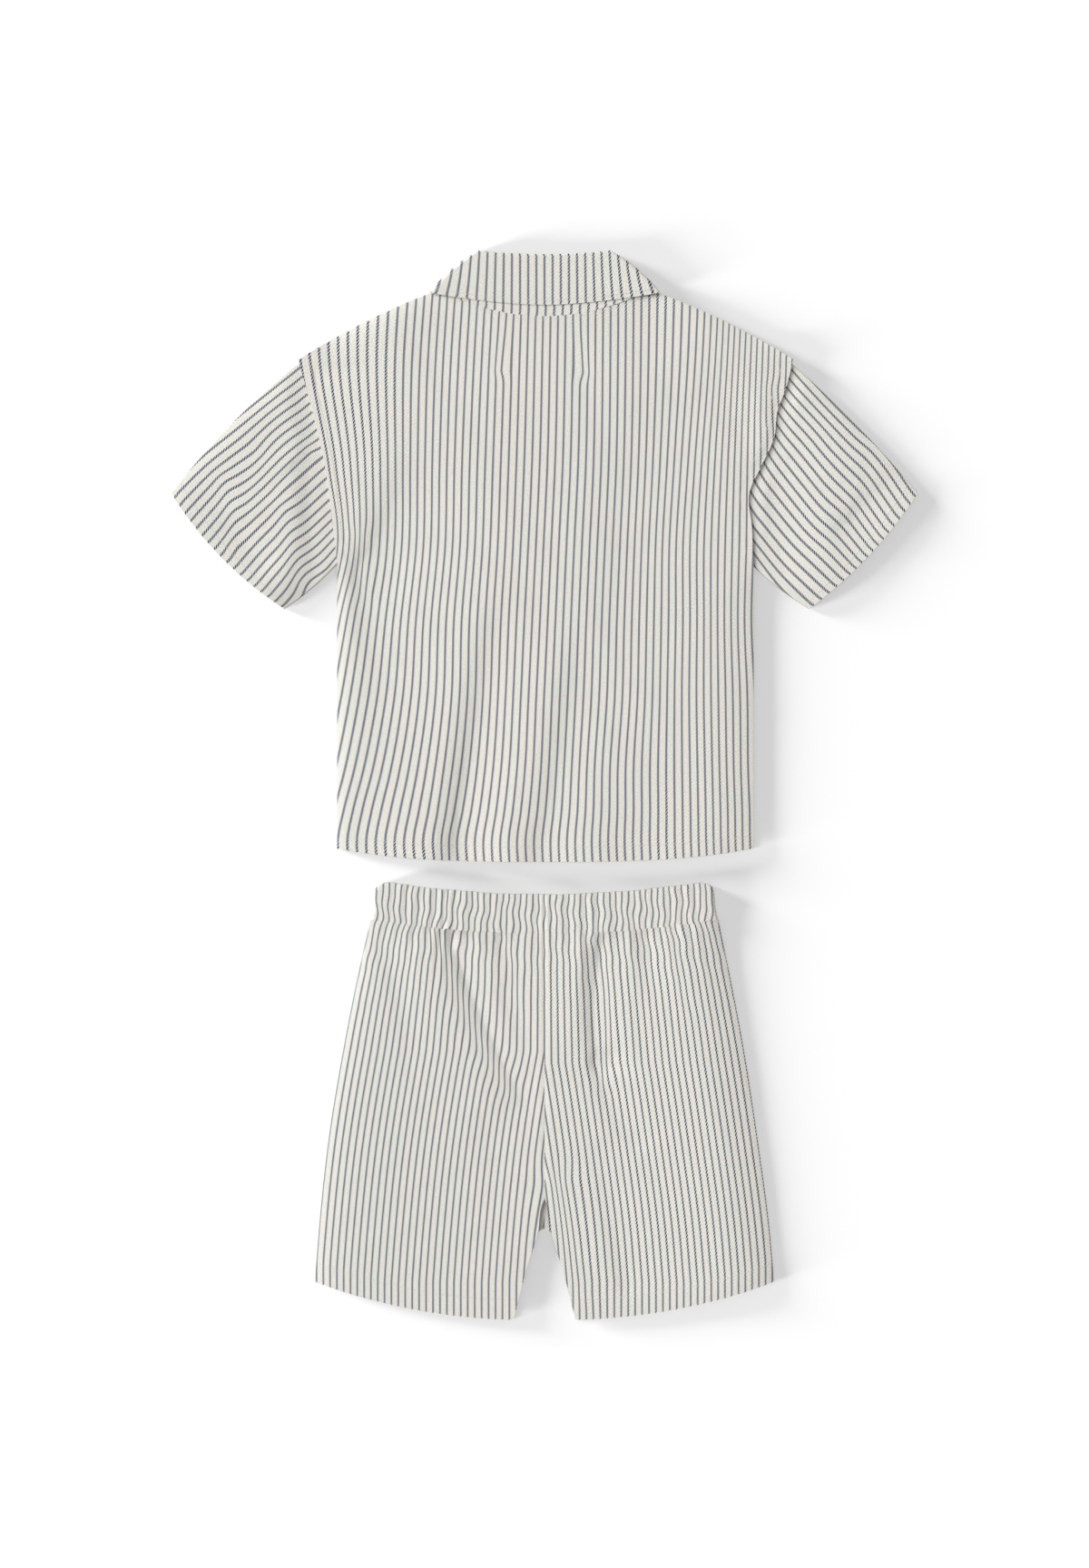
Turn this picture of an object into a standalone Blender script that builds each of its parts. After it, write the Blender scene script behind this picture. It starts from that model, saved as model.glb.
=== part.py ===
"""A small child's short-sleeved shirt and pull-on shorts in striped cotton, laid flat, backs up.

Metres, +Z up. The set lies on z = 0 with the shirt's collar towards +Y and the shorts below it.
Plan sizes are in millimetres from the middle of the set: -X is the wearer's left, because the
backs show. Each cloth piece is an open surface, worked out from its cut lines and its folds,
that a Solidify modifier makes a wall.
"""

from typing import NamedTuple

import bmesh
import bpy
import numpy as np

MM = 0.001

# Cloth walls, and the levels of the layers' middles
WALL = 1.2
SEAM_GAP = 0.3
LAYER = WALL + SEAM_GAP
ON_FLOOR = WALL / 2
TURN_RISE = 2.1  # between the two layers of a folded edge
FOLD_CLEAR = 0.1  # keeps the round of a folded edge off the floor
BODY_LOFT = 2.4  # how far the back stands off the front
NECK_LOFT = 0.6  # and near the collar
RIM = 7.0  # how far in from a seamed edge the back has come up to its loft

# Shirt body
TIP_LEFT, TIP_RIGHT = (-193.0, 336.2), (197.0, 336.2)
SHOULDER_BOW_LEFT, SHOULDER_BOW_RIGHT = 3.6, 3.8
NECK_HALF, NECK_SIDE_Y = 84.0, 391.2
BACK_NECK_Y, FRONT_NECK_Y = 370.4, 322.0
SIDE_LEFT, SIDE_RIGHT = -164.2, 165.6
UNDERARM_Y = 175.5
HEM_SIDE_Y, HEM_MIDDLE_Y = -51.0, -61.6
FRONT_INSET = 0.5  # the fronts' outer edges lie this far inside the back's

# Edges of the back's armholes, shoulder to underarm, and the sleeve heads tucked under them
ARMHOLE_LEFT = (
    TIP_LEFT, (-183.7, 294.2), (-174.4, 253.6), (-168.1, 206.7), (SIDE_LEFT, UNDERARM_Y),
)
ARMHOLE_RIGHT = (
    TIP_RIGHT, (190.5, 311.0), (184.2, 294.0), (182.0, 274.0), (171.8, 252.0),
    (162.4, 233.0), (164.2, 204.0), (SIDE_RIGHT, UNDERARM_Y),
)
HEAD_LEFT = ((-190.4, 334.2), (-180.2, 293.0), (-171.0, 252.6), (-164.8, 206.0), (-160.6, 178.5))
HEAD_RIGHT = (
    (192.0, 333.2), (183.0, 298.0), (172.5, 266.0), (160.5, 236.0), (157.0, 208.0), (158.6, 180.0),
)
ARMHOLE_SEAM = 0.4

# Sleeves
SLEEVE_LOFT = 2.2
UNDER_BACK = 14.0  # the sleeve has come up to its loft this far out from the back's edge

# Front opening and buttons
OVERLAP = 12.0  # each front passes the middle by this much
FRONT_LIFT = 1.9  # the fronts stand this high where they lie on buttons or on the collar
LIFT_RUN = 26.0  # how far a lifted front takes to come down to the floor
BACK_RUN = 78.0  # and how far the back takes, which bridges what lies under it
WING_HALF, WING_LOW_Y = 104.0, 286.0  # the fronts are up on the collar inside this
BUTTON_RADIUS, BUTTON_THICK, BUTTON_EDGE = 5.7, 1.6, 0.3
TOP_BUTTON_Y, BUTTON_PITCH, BUTTONS = 306.0, 84.0, 5

# Collar: the stand rises from the neck seam to the roll, and the leaf falls from there
NECK_SEAM, NECK_SEAM_END = 0.4, 0.014  # clear of the neck's edge, and short of its two sides
ROLL_SIDE, ROLL_DIP = (-54.0, 421.4), 2.9
LEAF_SIDE, LEAF_MIDDLE_Y = (-88.6, 388.4), 379.2
LEAF_BULGE = 4.0
WING_END_X, WING_ROLL_Y = -4.0, 331.0
COLLAR_POINT = (-56.0, 296.0)
FRONT_NECK_BOW, WING_ROLL_BOW, WING_BOW = -22.0, -16.0, -13.0
STAND_HIGH, STAND_LOW = 4.6, 2.5  # levels of the stand at the back and at the front
LEAF_HIGH, LEAF_LOW = 6.7, 0.6  # and of the leaf

# Shorts
BAND_TOP_HALF, BAND_SEAM_HALF = 133.0, 137.2
BAND_TOP_SIDE_Y, BAND_TOP_MIDDLE_Y = -77.0, -87.6
BAND_SEAM_SIDE_Y, BAND_SEAM_MIDDLE_Y = -107.4, -118.4
BAND_WALL, BAND_LOW, BAND_HIGH = 2.4, 1.2, 5.2
GATHERS = 24
GATHER_RISE = 0.55
GATHER_REACH = 26.0  # how far below the band the gathers have died out by two thirds
LEG_LOFT = 2.3

# Each leg's side from the band to the hem, as distances from the middle, and the seams inside it
LEG_SIDE_LEFT = (
    (137.4, -107.4), (145.2, -141.0), (158.4, -206.0), (171.4, -285.0), (179.3, -361.0),
    (181.8, -394.6),
)
LEG_SIDE_RIGHT = (
    (137.4, -107.4), (143.8, -138.0), (155.9, -200.0), (169.2, -285.0), (178.4, -355.0),
    (181.8, -394.6),
)
INSEAM_BACK = ((0.25, -328.0), (2.8, -336.0), (5.0, -354.0), (13.6, -382.0), (24.6, -424.4))
INSEAM_FRONT = ((0.25, -352.4), (5.2, -355.6), (13.6, -382.0), (24.6, -424.4))
LEG_HEM_BOW = -6.8


class Fold(NamedTuple):
    """A soft ridge, or a trough where the rise is below nothing, along a bowed line."""

    x0: float
    y0: float
    x1: float
    y1: float
    bow: float
    width: float
    rise0: float
    rise1: float


SHIRT_FOLDS = (
    #     x0     y0      x1     y1     bow   width rise0  rise1
    Fold(-36.0, 119.0, -68.0, -58.0, -3.0, 12.0, -0.5, -3.4),
    Fold(-62.0, 95.0, -104.0, -56.0, -4.0, 19.0, 0.3, 3.6),
    Fold(40.0, 111.0, -12.0, -60.0, 3.0, 12.0, -0.4, -2.6),
    Fold(8.0, 90.0, -34.0, -58.0, -2.0, 12.0, 0.6, 3.0),
    Fold(78.0, 130.0, 42.0, -58.0, 3.0, 24.0, 0.2, 1.6),
    Fold(-121.0, 232.0, -150.0, 168.0, -2.0, 9.0, -0.4, -2.8),
    Fold(-150.0, 168.0, -137.0, 66.0, -3.0, 10.0, -3.0, -0.4),
    Fold(-122.0, 190.0, -112.0, 60.0, 4.0, 12.0, 1.6, 1.2),
    Fold(-186.0, 327.0, -128.0, 331.0, 0.0, 7.0, -1.6, -0.2),
    Fold(112.0, 324.0, 160.0, 268.0, 4.0, 9.0, -0.4, -1.6),
    Fold(176.0, 300.0, 168.0, 262.0, 3.0, 8.0, 1.4, 1.6),
    Fold(20.0, 352.0, 38.0, 284.0, 3.0, 7.0, -1.2, -0.3),
    Fold(-17.0, 364.0, -17.0, 336.0, 0.0, 7.0, -0.9, -0.2),
)


class SleeveCut(NamedTuple):
    """A sleeve as it lies: its head, the armhole over it, its cuff and how far its edges bow."""

    head: tuple
    armhole: tuple
    cuff_top: tuple
    cuff_low: tuple
    top_bow: float
    cuff_bow: float
    under_bow: float
    folds: tuple


SLEEVE_LEFT = SleeveCut(
    HEAD_LEFT, ARMHOLE_LEFT, (-296.0, 231.1), (-203.5, 140.2), -2.6, -6.2, 2.5,
    (
        #     x0     y0     x1     y1   bow   width rise0 rise1
        Fold(-197.0, 268.0, -190.0, 156.0, -4.0, 10.0, -0.8, -2.0),
        Fold(-214.0, 252.0, -222.0, 164.0, 4.0, 12.0, 1.8, 1.2),
        Fold(-272.0, 236.0, -224.0, 176.0, 0.0, 9.0, -0.5, -1.4),
    ),
)
SLEEVE_RIGHT = SleeveCut(
    HEAD_RIGHT, ARMHOLE_RIGHT, (296.0, 231.1), (211.0, 140.6), 1.0, 3.8, -1.5,
    (
        #     x0     y0     x1     y1   bow   width rise0 rise1
        Fold(196.0, 292.0, 178.0, 182.0, -5.0, 11.0, -0.8, -2.2),
        Fold(222.0, 280.0, 206.0, 178.0, -4.0, 16.0, 1.4, 2.4),
        Fold(236.0, 200.0, 278.0, 242.0, 0.0, 9.0, -1.0, -0.8),
    ),
)
SHORTS_FOLDS = (
    #     x0      y0      x1     y1     bow  width rise0  rise1
    Fold(-100.0, -116.0, -74.0, -126.0, 0.0, 6.0, -0.8, -1.2),
    Fold(-76.0, -122.0, -18.0, -254.0, -3.0, 6.5, -2.2, -0.8),
    Fold(-92.0, -132.0, -66.0, -272.0, 6.0, 12.0, 1.8, 0.6),
    Fold(-60.0, -128.0, -30.0, -196.0, 0.0, 6.5, 1.7, 0.6),
    Fold(-133.0, -124.0, -104.0, -240.0, 6.0, 7.0, -1.6, -0.3),
    Fold(-36.0, -120.0, -25.0, -154.0, 0.0, 6.0, -1.8, -0.6),
    Fold(-34.0, -166.0, -15.0, -206.0, 0.0, 6.5, -1.4, -0.5),
    Fold(46.0, -118.0, 40.0, -200.0, -5.0, 6.0, -2.0, -2.2),
    Fold(40.0, -198.0, 68.0, -280.0, -4.0, 9.0, -2.2, -0.4),
    Fold(30.0, -130.0, 26.0, -200.0, -3.0, 7.0, 1.6, 0.8),
    Fold(58.0, -126.0, 62.0, -210.0, -2.0, 8.0, 1.9, 1.0),
    Fold(78.0, -119.0, 86.0, -166.0, 0.0, 6.0, -1.8, -0.4),
    Fold(100.0, -124.0, 118.0, -240.0, 3.0, 14.0, 1.4, 0.5),
    Fold(44.0, -290.0, 66.0, -398.0, 0.0, 9.0, -0.4, -1.2),
    Fold(-48.0, -270.0, -36.0, -340.0, 2.0, 8.0, -0.9, -0.3),
)

CLOTH_COLOUR = (0.60, 0.59, 0.55)
BUTTON_COLOUR = (0.70, 0.66, 0.56)


def smooth(t):
    """A soft step from 0 at t = 0 to 1 at t = 1."""
    t = np.clip(t, 0.0, 1.0)
    return t * t * (3.0 - 2.0 * t)


def blend(a, b, t):
    """From a at t = 0 to b at t = 1."""
    return a + (b - a) * t


def steps(t, *knots):
    """Spreads rows or columns unevenly: straight runs through the (t, value) knots."""
    return np.interp(t, [knot[0] for knot in knots], [knot[1] for knot in knots])


def split(v, rows, first):
    """How far v is through the first rows, and then how far through the rest, each 0 to 1."""
    return np.clip(v * rows / first, 0.0, 1.0), np.clip((v * rows - first) / (rows - first), 0.0, 1.0)


def along(points, t):
    """Points on a soft curve through the given ones, t from 0 to 1 by their spacing."""
    knots = np.array(points, float)
    spacing = np.linalg.norm(np.diff(knots, axis=0), axis=1)
    at = np.concatenate([[0.0], np.cumsum(spacing)]) / spacing.sum()
    slope = np.gradient(knots, at, axis=0)
    i = np.clip(np.searchsorted(at, t, side="right") - 1, 0, len(at) - 2)
    span = (at[i + 1] - at[i])[:, None]
    f = (t - at[i])[:, None] / span
    start = (1 + 2 * f) * (1 - f) ** 2 * knots[i] + f * (1 - f) ** 2 * span * slope[i]
    return start + f**2 * (3 - 2 * f) * knots[i + 1] - f**2 * (1 - f) * span * slope[i + 1]


def x_at(points, y):
    """How far across a curve that runs down is, at the height y."""
    fine = along(points, np.linspace(0.0, 1.0, 101))[::-1]
    return np.interp(y, fine[:, 1], fine[:, 0])


def bowed(start, end, bow, t):
    """Points from start to end on a parabola that stands off the straight line, to its left."""
    start, end = np.array(start, float), np.array(end, float)
    ahead = end - start
    left = np.array([-ahead[1], ahead[0]]) / np.linalg.norm(ahead)
    t = t[:, None]
    return start + ahead * t + left * 4.0 * bow * t * (1.0 - t)


def folded(folds, x, y):
    """The height that the folds give together: each is a bell across its line, with round ends."""
    height = np.zeros_like(x)
    for fold in folds:
        ahead = np.array([fold.x1 - fold.x0, fold.y1 - fold.y0])
        length = np.linalg.norm(ahead)
        ahead = ahead / length
        run = (x - fold.x0) * ahead[0] + (y - fold.y0) * ahead[1]
        t = np.clip(run / length, 0.0, 1.0)
        side = (y - fold.y0) * ahead[0] - (x - fold.x0) * ahead[1] - 4.0 * fold.bow * t * (1.0 - t)
        past = run - t * length
        height += blend(fold.rise0, fold.rise1, t) * np.exp(-(side**2 + past**2) / fold.width**2)
    return height


def finish(name, colour, roughness):
    """A plain material in the given colour."""
    material = bpy.data.materials.new(name)
    material.use_nodes = True
    shader = material.node_tree.nodes["Principled BSDF"]
    shader.inputs["Base Color"].default_value = (*colour, 1.0)
    shader.inputs["Roughness"].default_value = roughness
    shader.inputs["Metallic"].default_value = 0.0
    return material


def cloth_piece(name, across, down, shape, wall=WALL, closed=False):
    """A grid moved to shape(u, v), in millimetres, and given its wall by Solidify.

    u runs across and v down, both from 0 to 1. A closed piece comes round to where it began.
    """
    grid = bmesh.new()
    bmesh.ops.create_grid(grid, x_segments=across, y_segments=down, size=0.5)
    flat = np.array([vertex.co for vertex in grid.verts])
    places = shape(flat[:, 0] + 0.5, 0.5 - flat[:, 1]) * MM
    for vertex, place in zip(grid.verts, places):
        vertex.co = place
    if closed:
        bmesh.ops.remove_doubles(grid, verts=grid.verts, dist=1e-6)
    mesh = bpy.data.meshes.new(name)
    grid.to_mesh(mesh)
    grid.free()
    mesh.shade_smooth()
    mesh.materials.append(finish(name + "_cloth", CLOTH_COLOUR, 0.9))
    piece = bpy.data.objects.new(name, mesh)
    solidify = piece.modifiers.new("wall", "SOLIDIFY")
    solidify.thickness = wall * MM
    solidify.offset = 0.0
    solidify.use_even_offset = True
    return piece


def tube_piece(name, upper, lower, turn, down, plan, rise, low, high, wall=WALL):
    """A tube laid flat: an upper and a lower layer, joined by a round turn down each side.

    upper, lower and turn are the counts of columns in each. plan(place, v) is the plan of the
    flat tube, place from 0 at its first side to 1 at its last, and rise(x, y, place) is how
    far the upper layer stands over the level high.
    """
    around = upper + lower + 2 * turn
    level, radius = (low + high) / 2, (high - low) / 2

    def shape(u, v):
        column = u * around
        width = np.linalg.norm(plan(np.ones_like(v), v) - plan(np.zeros_like(v), v), axis=1)
        rim = (radius + wall / 2) / width
        on_top = np.clip((column - turn) / upper, 0.0, 1.0)
        beneath = np.clip((column - 2 * turn - upper) / lower, 0.0, 1.0)
        turned = np.clip(column / turn, 0.0, 1.0) + np.clip((column - turn - upper) / turn, 0.0, 1.0)
        angle = np.pi * (turned - 0.5)
        place = blend(rim, 1.0 - rim, on_top - beneath)
        out = np.where(column <= turn, -1.0, 1.0) * np.abs(np.cos(angle)) * radius / width
        flat = plan(place + out, v)
        z = level + radius * np.sin(angle)
        lifted = (column > turn) & (column < turn + upper)
        z = z + np.where(lifted, rise(flat[:, 0], flat[:, 1], on_top), 0.0)
        return np.column_stack([flat, z])

    return cloth_piece(name, around, down, shape, wall=wall, closed=True)


# Shirt body


def shoulder_y(x):
    """The shoulder seams: from each tip in to the side of the neck, a little bowed upwards."""
    left = x < 0
    reach = np.where(left, -TIP_LEFT[0], TIP_RIGHT[0]) - NECK_HALF
    bow = np.where(left, SHOULDER_BOW_LEFT, SHOULDER_BOW_RIGHT)
    t = (np.abs(x) - NECK_HALF) / reach
    return blend(NECK_SIDE_Y, TIP_LEFT[1], t) + 4.0 * bow * t * (1.0 - t)


def back_neck_y(x):
    """The back neckline, lowest in the middle and rising with the square of x."""
    return BACK_NECK_Y + (NECK_SIDE_Y - BACK_NECK_Y) * (x / NECK_HALF) ** 2


def front_neck(t):
    """The front neckline from the left side of the neck, t = 0, down to the opening, t = 1."""
    return bowed((-NECK_HALF, NECK_SIDE_Y), (WING_END_X, FRONT_NECK_Y), FRONT_NECK_BOW, t)


def hem_y(x):
    """The shirt's hem, flat in the middle and turning up towards the side seams."""
    return HEM_MIDDLE_Y + (HEM_SIDE_Y - HEM_MIDDLE_Y) * np.abs(x / SIDE_RIGHT) ** 3


def on_collar(x, y, run):
    """1 where a front lies on the collar's wing, and 0 clear of it."""
    beside = smooth((WING_HALF + run - np.abs(x)) / run)
    return beside * smooth((y - WING_LOW_Y + run) / run)


def outer_front_z(x, y, run=LIFT_RUN):
    """The left front: on the floor, but up on the buttons and on the collar."""
    on_buttons = smooth((x + OVERLAP + run) / run)
    return ON_FLOOR + FRONT_LIFT * (1.0 - (1.0 - on_buttons) * (1.0 - on_collar(x, y, run)))


def inner_front_z(x, y, run=LIFT_RUN):
    """The right front: over the left one where they overlap, and then down to the floor."""
    over = smooth((2 * OVERLAP + run - x) / run)
    return ON_FLOOR + blend(FRONT_LIFT * on_collar(x, y, run), FRONT_LIFT + LAYER, over)


def back_bed_z(x, y):
    """The lowest that the back may lie: over both fronts, in a wider and softer rise."""
    return LAYER + np.maximum(outer_front_z(x, y, BACK_RUN), inner_front_z(np.abs(x), y, BACK_RUN))


def shirt_back():
    """The back: one piece from shoulder to hem, in soft folds, its edge over the sleeve heads."""
    across, down, arm_rows, shoulder_columns = 28, 28, 11, 7
    wide = TIP_RIGHT[0] - TIP_LEFT[0]
    neck_from, neck_to = (-NECK_HALF - TIP_LEFT[0]) / wide, (NECK_HALF - TIP_LEFT[0]) / wide
    edge = shoulder_columns / across

    def shape(u, v):
        u = steps(u, (0.0, 0.0), (edge, neck_from), (1.0 - edge, neck_to), (1.0, 1.0))
        in_arm, in_side = split(v, down, arm_rows)
        left, right = along(ARMHOLE_LEFT, in_arm), along(ARMHOLE_RIGHT, in_arm)
        share = (TIP_LEFT[1] - blend(left[:, 1], HEM_SIDE_Y, in_side)) / (TIP_LEFT[1] - HEM_SIDE_Y)
        x = blend(left[:, 0], right[:, 0], u)
        top_x = blend(TIP_LEFT[0], TIP_RIGHT[0], u)
        top = np.where(np.abs(top_x) < NECK_HALF, back_neck_y(top_x), shoulder_y(top_x))
        y = blend(top, hem_y(blend(SIDE_LEFT, SIDE_RIGHT, u)), share)
        below_arm = smooth(in_side * (down - arm_rows) / 2)
        from_side = np.minimum(u, 1.0 - u) * (SIDE_RIGHT - SIDE_LEFT)
        side_rim = below_arm * np.exp(-from_side / RIM)
        beyond_neck = smooth((np.abs(top_x) - NECK_HALF) / 10.0 + 1.0)
        before_tip = smooth((TIP_RIGHT[0] - np.abs(top_x)) / 20.0 - 0.7)
        shoulder_rim = beyond_neck * before_tip * np.exp(-(top - y) / RIM)
        clear = np.minimum(smooth((np.abs(x) - 78.0) / 50.0) + smooth((356.0 - y) / 50.0), 1.0)
        rise = blend(NECK_LOFT, BODY_LOFT, clear) + clear * folded(SHIRT_FOLDS, x, y)
        rise = rise * (1.0 - side_rim) * (1.0 - shoulder_rim)
        head = np.where(x < 0, -x_at(HEAD_LEFT, y), x_at(HEAD_RIGHT, y))
        on_sleeve = smooth((np.abs(x) - head) / 8.0 + 1.5) * (1.0 - below_arm)
        return np.column_stack([x, y, back_bed_z(x, y) + np.maximum(rise, TURN_RISE * on_sleeve)])

    return cloth_piece("shirt_back", across, down, shape)


def shirt_front(name, mirror, head, side, shoulder_bow, height):
    """One front: shoulder, neckline and armhole above, and a straight edge at the opening."""
    across, down, arm_rows, shoulder_columns, neck_columns = 13, 14, 6, 5, 7
    armhole = [(mirror * x + ARMHOLE_SEAM, y) for x, y in head]
    tip, neck_side = armhole[0], (-NECK_HALF, NECK_SIDE_Y - FRONT_INSET)
    side_x = mirror * side + FRONT_INSET

    def top_line(column):
        on_shoulder = np.clip(column / shoulder_columns, 0.0, 1.0)
        on_neck = np.clip((column - shoulder_columns) / neck_columns, 0.0, 1.0)
        past = np.clip(column - shoulder_columns - neck_columns, 0.0, 1.0)
        shoulder = bowed(tip, neck_side, shoulder_bow - FRONT_INSET, on_shoulder)
        line = np.where((on_shoulder < 1.0)[:, None], shoulder, front_neck(on_neck))
        line[:, 0] += (OVERLAP - WING_END_X) * past
        return line

    def shape(u, v):
        top = top_line(u * across)
        in_arm, in_side = split(v, down, arm_rows)
        edge = along(armhole, in_arm)
        edge[:, 0] = blend(edge[:, 0], side_x, smooth(in_side * (down - arm_rows)))
        edge[:, 1] = blend(edge[:, 1], HEM_SIDE_Y, in_side)
        share = (tip[1] - edge[:, 1]) / (tip[1] - HEM_SIDE_Y)
        bottom_x = blend(side_x, OVERLAP, u)
        y = blend(top[:, 1], hem_y(bottom_x), share)
        bulge = edge[:, 0] - blend(tip[0], side_x, share)
        x = mirror * (blend(top[:, 0], bottom_x, share) + bulge * (1.0 - u) ** 2)
        return np.column_stack([x, y, height(x, y)])

    return cloth_piece(name, across, down, shape)


def button(index):
    """A flat round button with softened edges, under the left front."""
    bpy.ops.mesh.primitive_cylinder_add(
        vertices=14,
        radius=BUTTON_RADIUS * MM,
        depth=BUTTON_THICK * MM,
        location=(0.0, (TOP_BUTTON_Y - BUTTON_PITCH * index) * MM, BUTTON_THICK / 2 * MM),
    )
    disc = bpy.context.object
    disc.name = f"button_{index + 1}"
    disc.data.materials.append(finish(disc.name + "_finish", BUTTON_COLOUR, 0.35))
    bevel = disc.modifiers.new("edge", "BEVEL")
    bevel.width = BUTTON_EDGE * MM
    bevel.segments = 1
    return disc


# Collar


def leaf_edge(t):
    """The leaf's free edge across the back, left to right, lowest in the middle."""
    x = blend(LEAF_SIDE[0], -LEAF_SIDE[0], t)
    return np.column_stack([x, blend(LEAF_MIDDLE_Y, LEAF_SIDE[1], np.abs(x / LEAF_SIDE[0]) ** 1.6)])


def seam_edge(t):
    """The collar's edge in the back neckline, left to right."""
    x = blend(-NECK_HALF, NECK_HALF, NECK_SEAM_END + (1.0 - 2 * NECK_SEAM_END) * t)
    return np.column_stack([x, back_neck_y(x) + NECK_SEAM])


def collar():
    """Stand and leaf in one: a ring round the neck, folded over at the roll.

    Round the ring come the left wing under the left front, the crease at the left side of the
    neck, the back, the right crease and the right wing. Down it come the stand, the roll and
    the leaf. In a crease the layer turns over on a half circle, from its low level to its high.
    """
    wing, crease, back, stand, roll, leaf = 5, 5, 14, 3, 3, 3
    around, down = 2 * (wing + crease) + back, stand + roll + leaf
    neck_side, end = seam_edge(np.zeros(1))[0], (WING_END_X, FRONT_NECK_Y + NECK_SEAM)
    roll_end, roll_far = (WING_END_X, WING_ROLL_Y), (-ROLL_SIDE[0], ROLL_SIDE[1])
    outward = np.array([-1.0, 1.0]) / np.sqrt(2.0)

    def lines(column):
        """Plan of the seam, roll and leaf edge, on the left half turned over for the right."""
        from_end = np.minimum(column, around - column)
        on_wing = 1.0 - np.clip(from_end / wing, 0.0, 1.0)
        across = np.clip((column - wing - crease) / back, 0.0, 1.0)
        on_back = (from_end >= wing + crease)[:, None]
        side = np.column_stack([np.where(column > around / 2, -1.0, 1.0), np.ones_like(column)])
        wing_seam = side * bowed(neck_side, end, FRONT_NECK_BOW + NECK_SEAM, on_wing)
        wing_roll = side * bowed(ROLL_SIDE, roll_end, WING_ROLL_BOW, on_wing)
        wing_edge = side * bowed(LEAF_SIDE, COLLAR_POINT, WING_BOW, on_wing)
        seam = np.where(on_back, seam_edge(across), wing_seam)
        fold = np.where(on_back, bowed(ROLL_SIDE, roll_far, -ROLL_DIP, across), wing_roll)
        edge = np.where(on_back, leaf_edge(across), wing_edge)
        near_crease = (1.0 - on_wing) * (1.0 - 4.0 * across * (1.0 - across)) ** 2
        turned = np.clip((from_end - wing) / crease, 0.0, 1.0)
        return seam, fold, edge, np.pi * (turned - 0.5), side * outward, near_crease[:, None]

    def shape(u, v):
        seam, fold, edge, angle, out, near_crease = lines(u * around)
        in_stand = np.clip(v * down / stand, 0.0, 1.0)[:, None]
        bend = np.pi * np.clip((v * down - stand) / roll, 0.0, 1.0)
        in_leaf = np.clip((v * down - stand - roll) / leaf, 0.0, 1.0)[:, None]
        over = (1.0 - np.cos(bend)) / 2
        radius = blend(STAND_HIGH - STAND_LOW, LEAF_HIGH - LEAF_LOW, over) / 2
        middle = blend(STAND_HIGH + STAND_LOW, LEAF_HIGH + LEAF_LOW, over) / 2
        up = fold - (seam + edge) / 2
        up = up / np.linalg.norm(up, axis=1)[:, None]
        plan = blend(seam, fold, in_stand) + (edge - fold) * in_leaf
        plan = plan + up * np.sin(bend)[:, None] * (LEAF_HIGH - STAND_HIGH) / 2
        plan = plan + out * near_crease * LEAF_BULGE * np.sin(np.pi * in_leaf)
        plan = plan + out * (radius * np.cos(angle))[:, None]
        return np.column_stack([plan, middle + radius * np.sin(angle)])

    return cloth_piece("collar", around, down, shape)


# Sleeves


def sleeve(name, cut):
    """A short sleeve: folded along its top, seamed under the arm, its head curved as the armhole."""
    upper, lower, turn, down = 12, 6, 2, 9
    low = ON_FLOOR + FOLD_CLEAR
    cuff_width = np.hypot(cut.cuff_top[0] - cut.cuff_low[0], cut.cuff_top[1] - cut.cuff_low[1])

    def plan(place, v):
        across, down_sleeve = place[:, None], v[:, None]
        head = along(cut.head, place)
        cuff = bowed(cut.cuff_top, cut.cuff_low, cut.cuff_bow, place)
        top = bowed(cut.head[0], cut.cuff_top, cut.top_bow, v)
        under = bowed(cut.head[-1], cut.cuff_low, cut.under_bow, v)
        ends = blend(np.array(cut.head[0]), np.array(cut.head[-1]), across)
        cuff_ends = blend(np.array(cut.cuff_top), np.array(cut.cuff_low), across)
        return (
            blend(head, cuff, down_sleeve)
            + blend(top, under, across)
            - blend(ends, cuff_ends, down_sleeve)
        )

    def rise(x, y, place):
        from_back = np.abs(x) - np.abs(x_at(cut.armhole, y))
        rim = 1.0 - np.exp(-np.minimum(place, 1.0 - place) * cuff_width / RIM)
        lift = (SLEEVE_LOFT + folded(cut.folds, x, y)) * rim * smooth((from_back - 1.0) / UNDER_BACK)
        return np.maximum(lift, 0.0)

    return tube_piece(name, upper, lower, turn, down, plan, rise, low, low + TURN_RISE)


# Shorts


def uneven(place):
    """How far the gathers stray from an even spacing, as a share of half the waist."""
    wide, narrow = 0.030 * np.sin(6 * np.pi * place), 0.016 * np.sin(14 * np.pi * place)
    return (wide + narrow) * np.sin(np.pi * place)


def band_y(across, side_y, middle_y):
    """An edge of the band, which dips to the middle with the square of across, -1 to 1."""
    return blend(middle_y, side_y, across**2)


def waistband():
    """The elastic casing: a tube of two layers, gathered where it shows and flat beneath."""

    def plan(place, v):
        across = 2.0 * place - 1.0 + uneven(np.clip(place, 0.0, 1.0))
        top = band_y(across, BAND_TOP_SIDE_Y, BAND_TOP_MIDDLE_Y)
        seam = band_y(across, BAND_SEAM_SIDE_Y, BAND_SEAM_MIDDLE_Y)
        return np.column_stack([across * blend(BAND_TOP_HALF, BAND_SEAM_HALF, v), blend(top, seam, v)])

    def rise(x, y, place):
        ends = smooth(np.minimum(place, 1.0 - place) * GATHERS)
        return GATHER_RISE * (1.0 - np.cos(2 * np.pi * GATHERS * place)) * ends

    return tube_piece("waistband", 4 * GATHERS, 10, 3, 3, plan, rise, BAND_LOW, BAND_HIGH, BAND_WALL)


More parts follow.
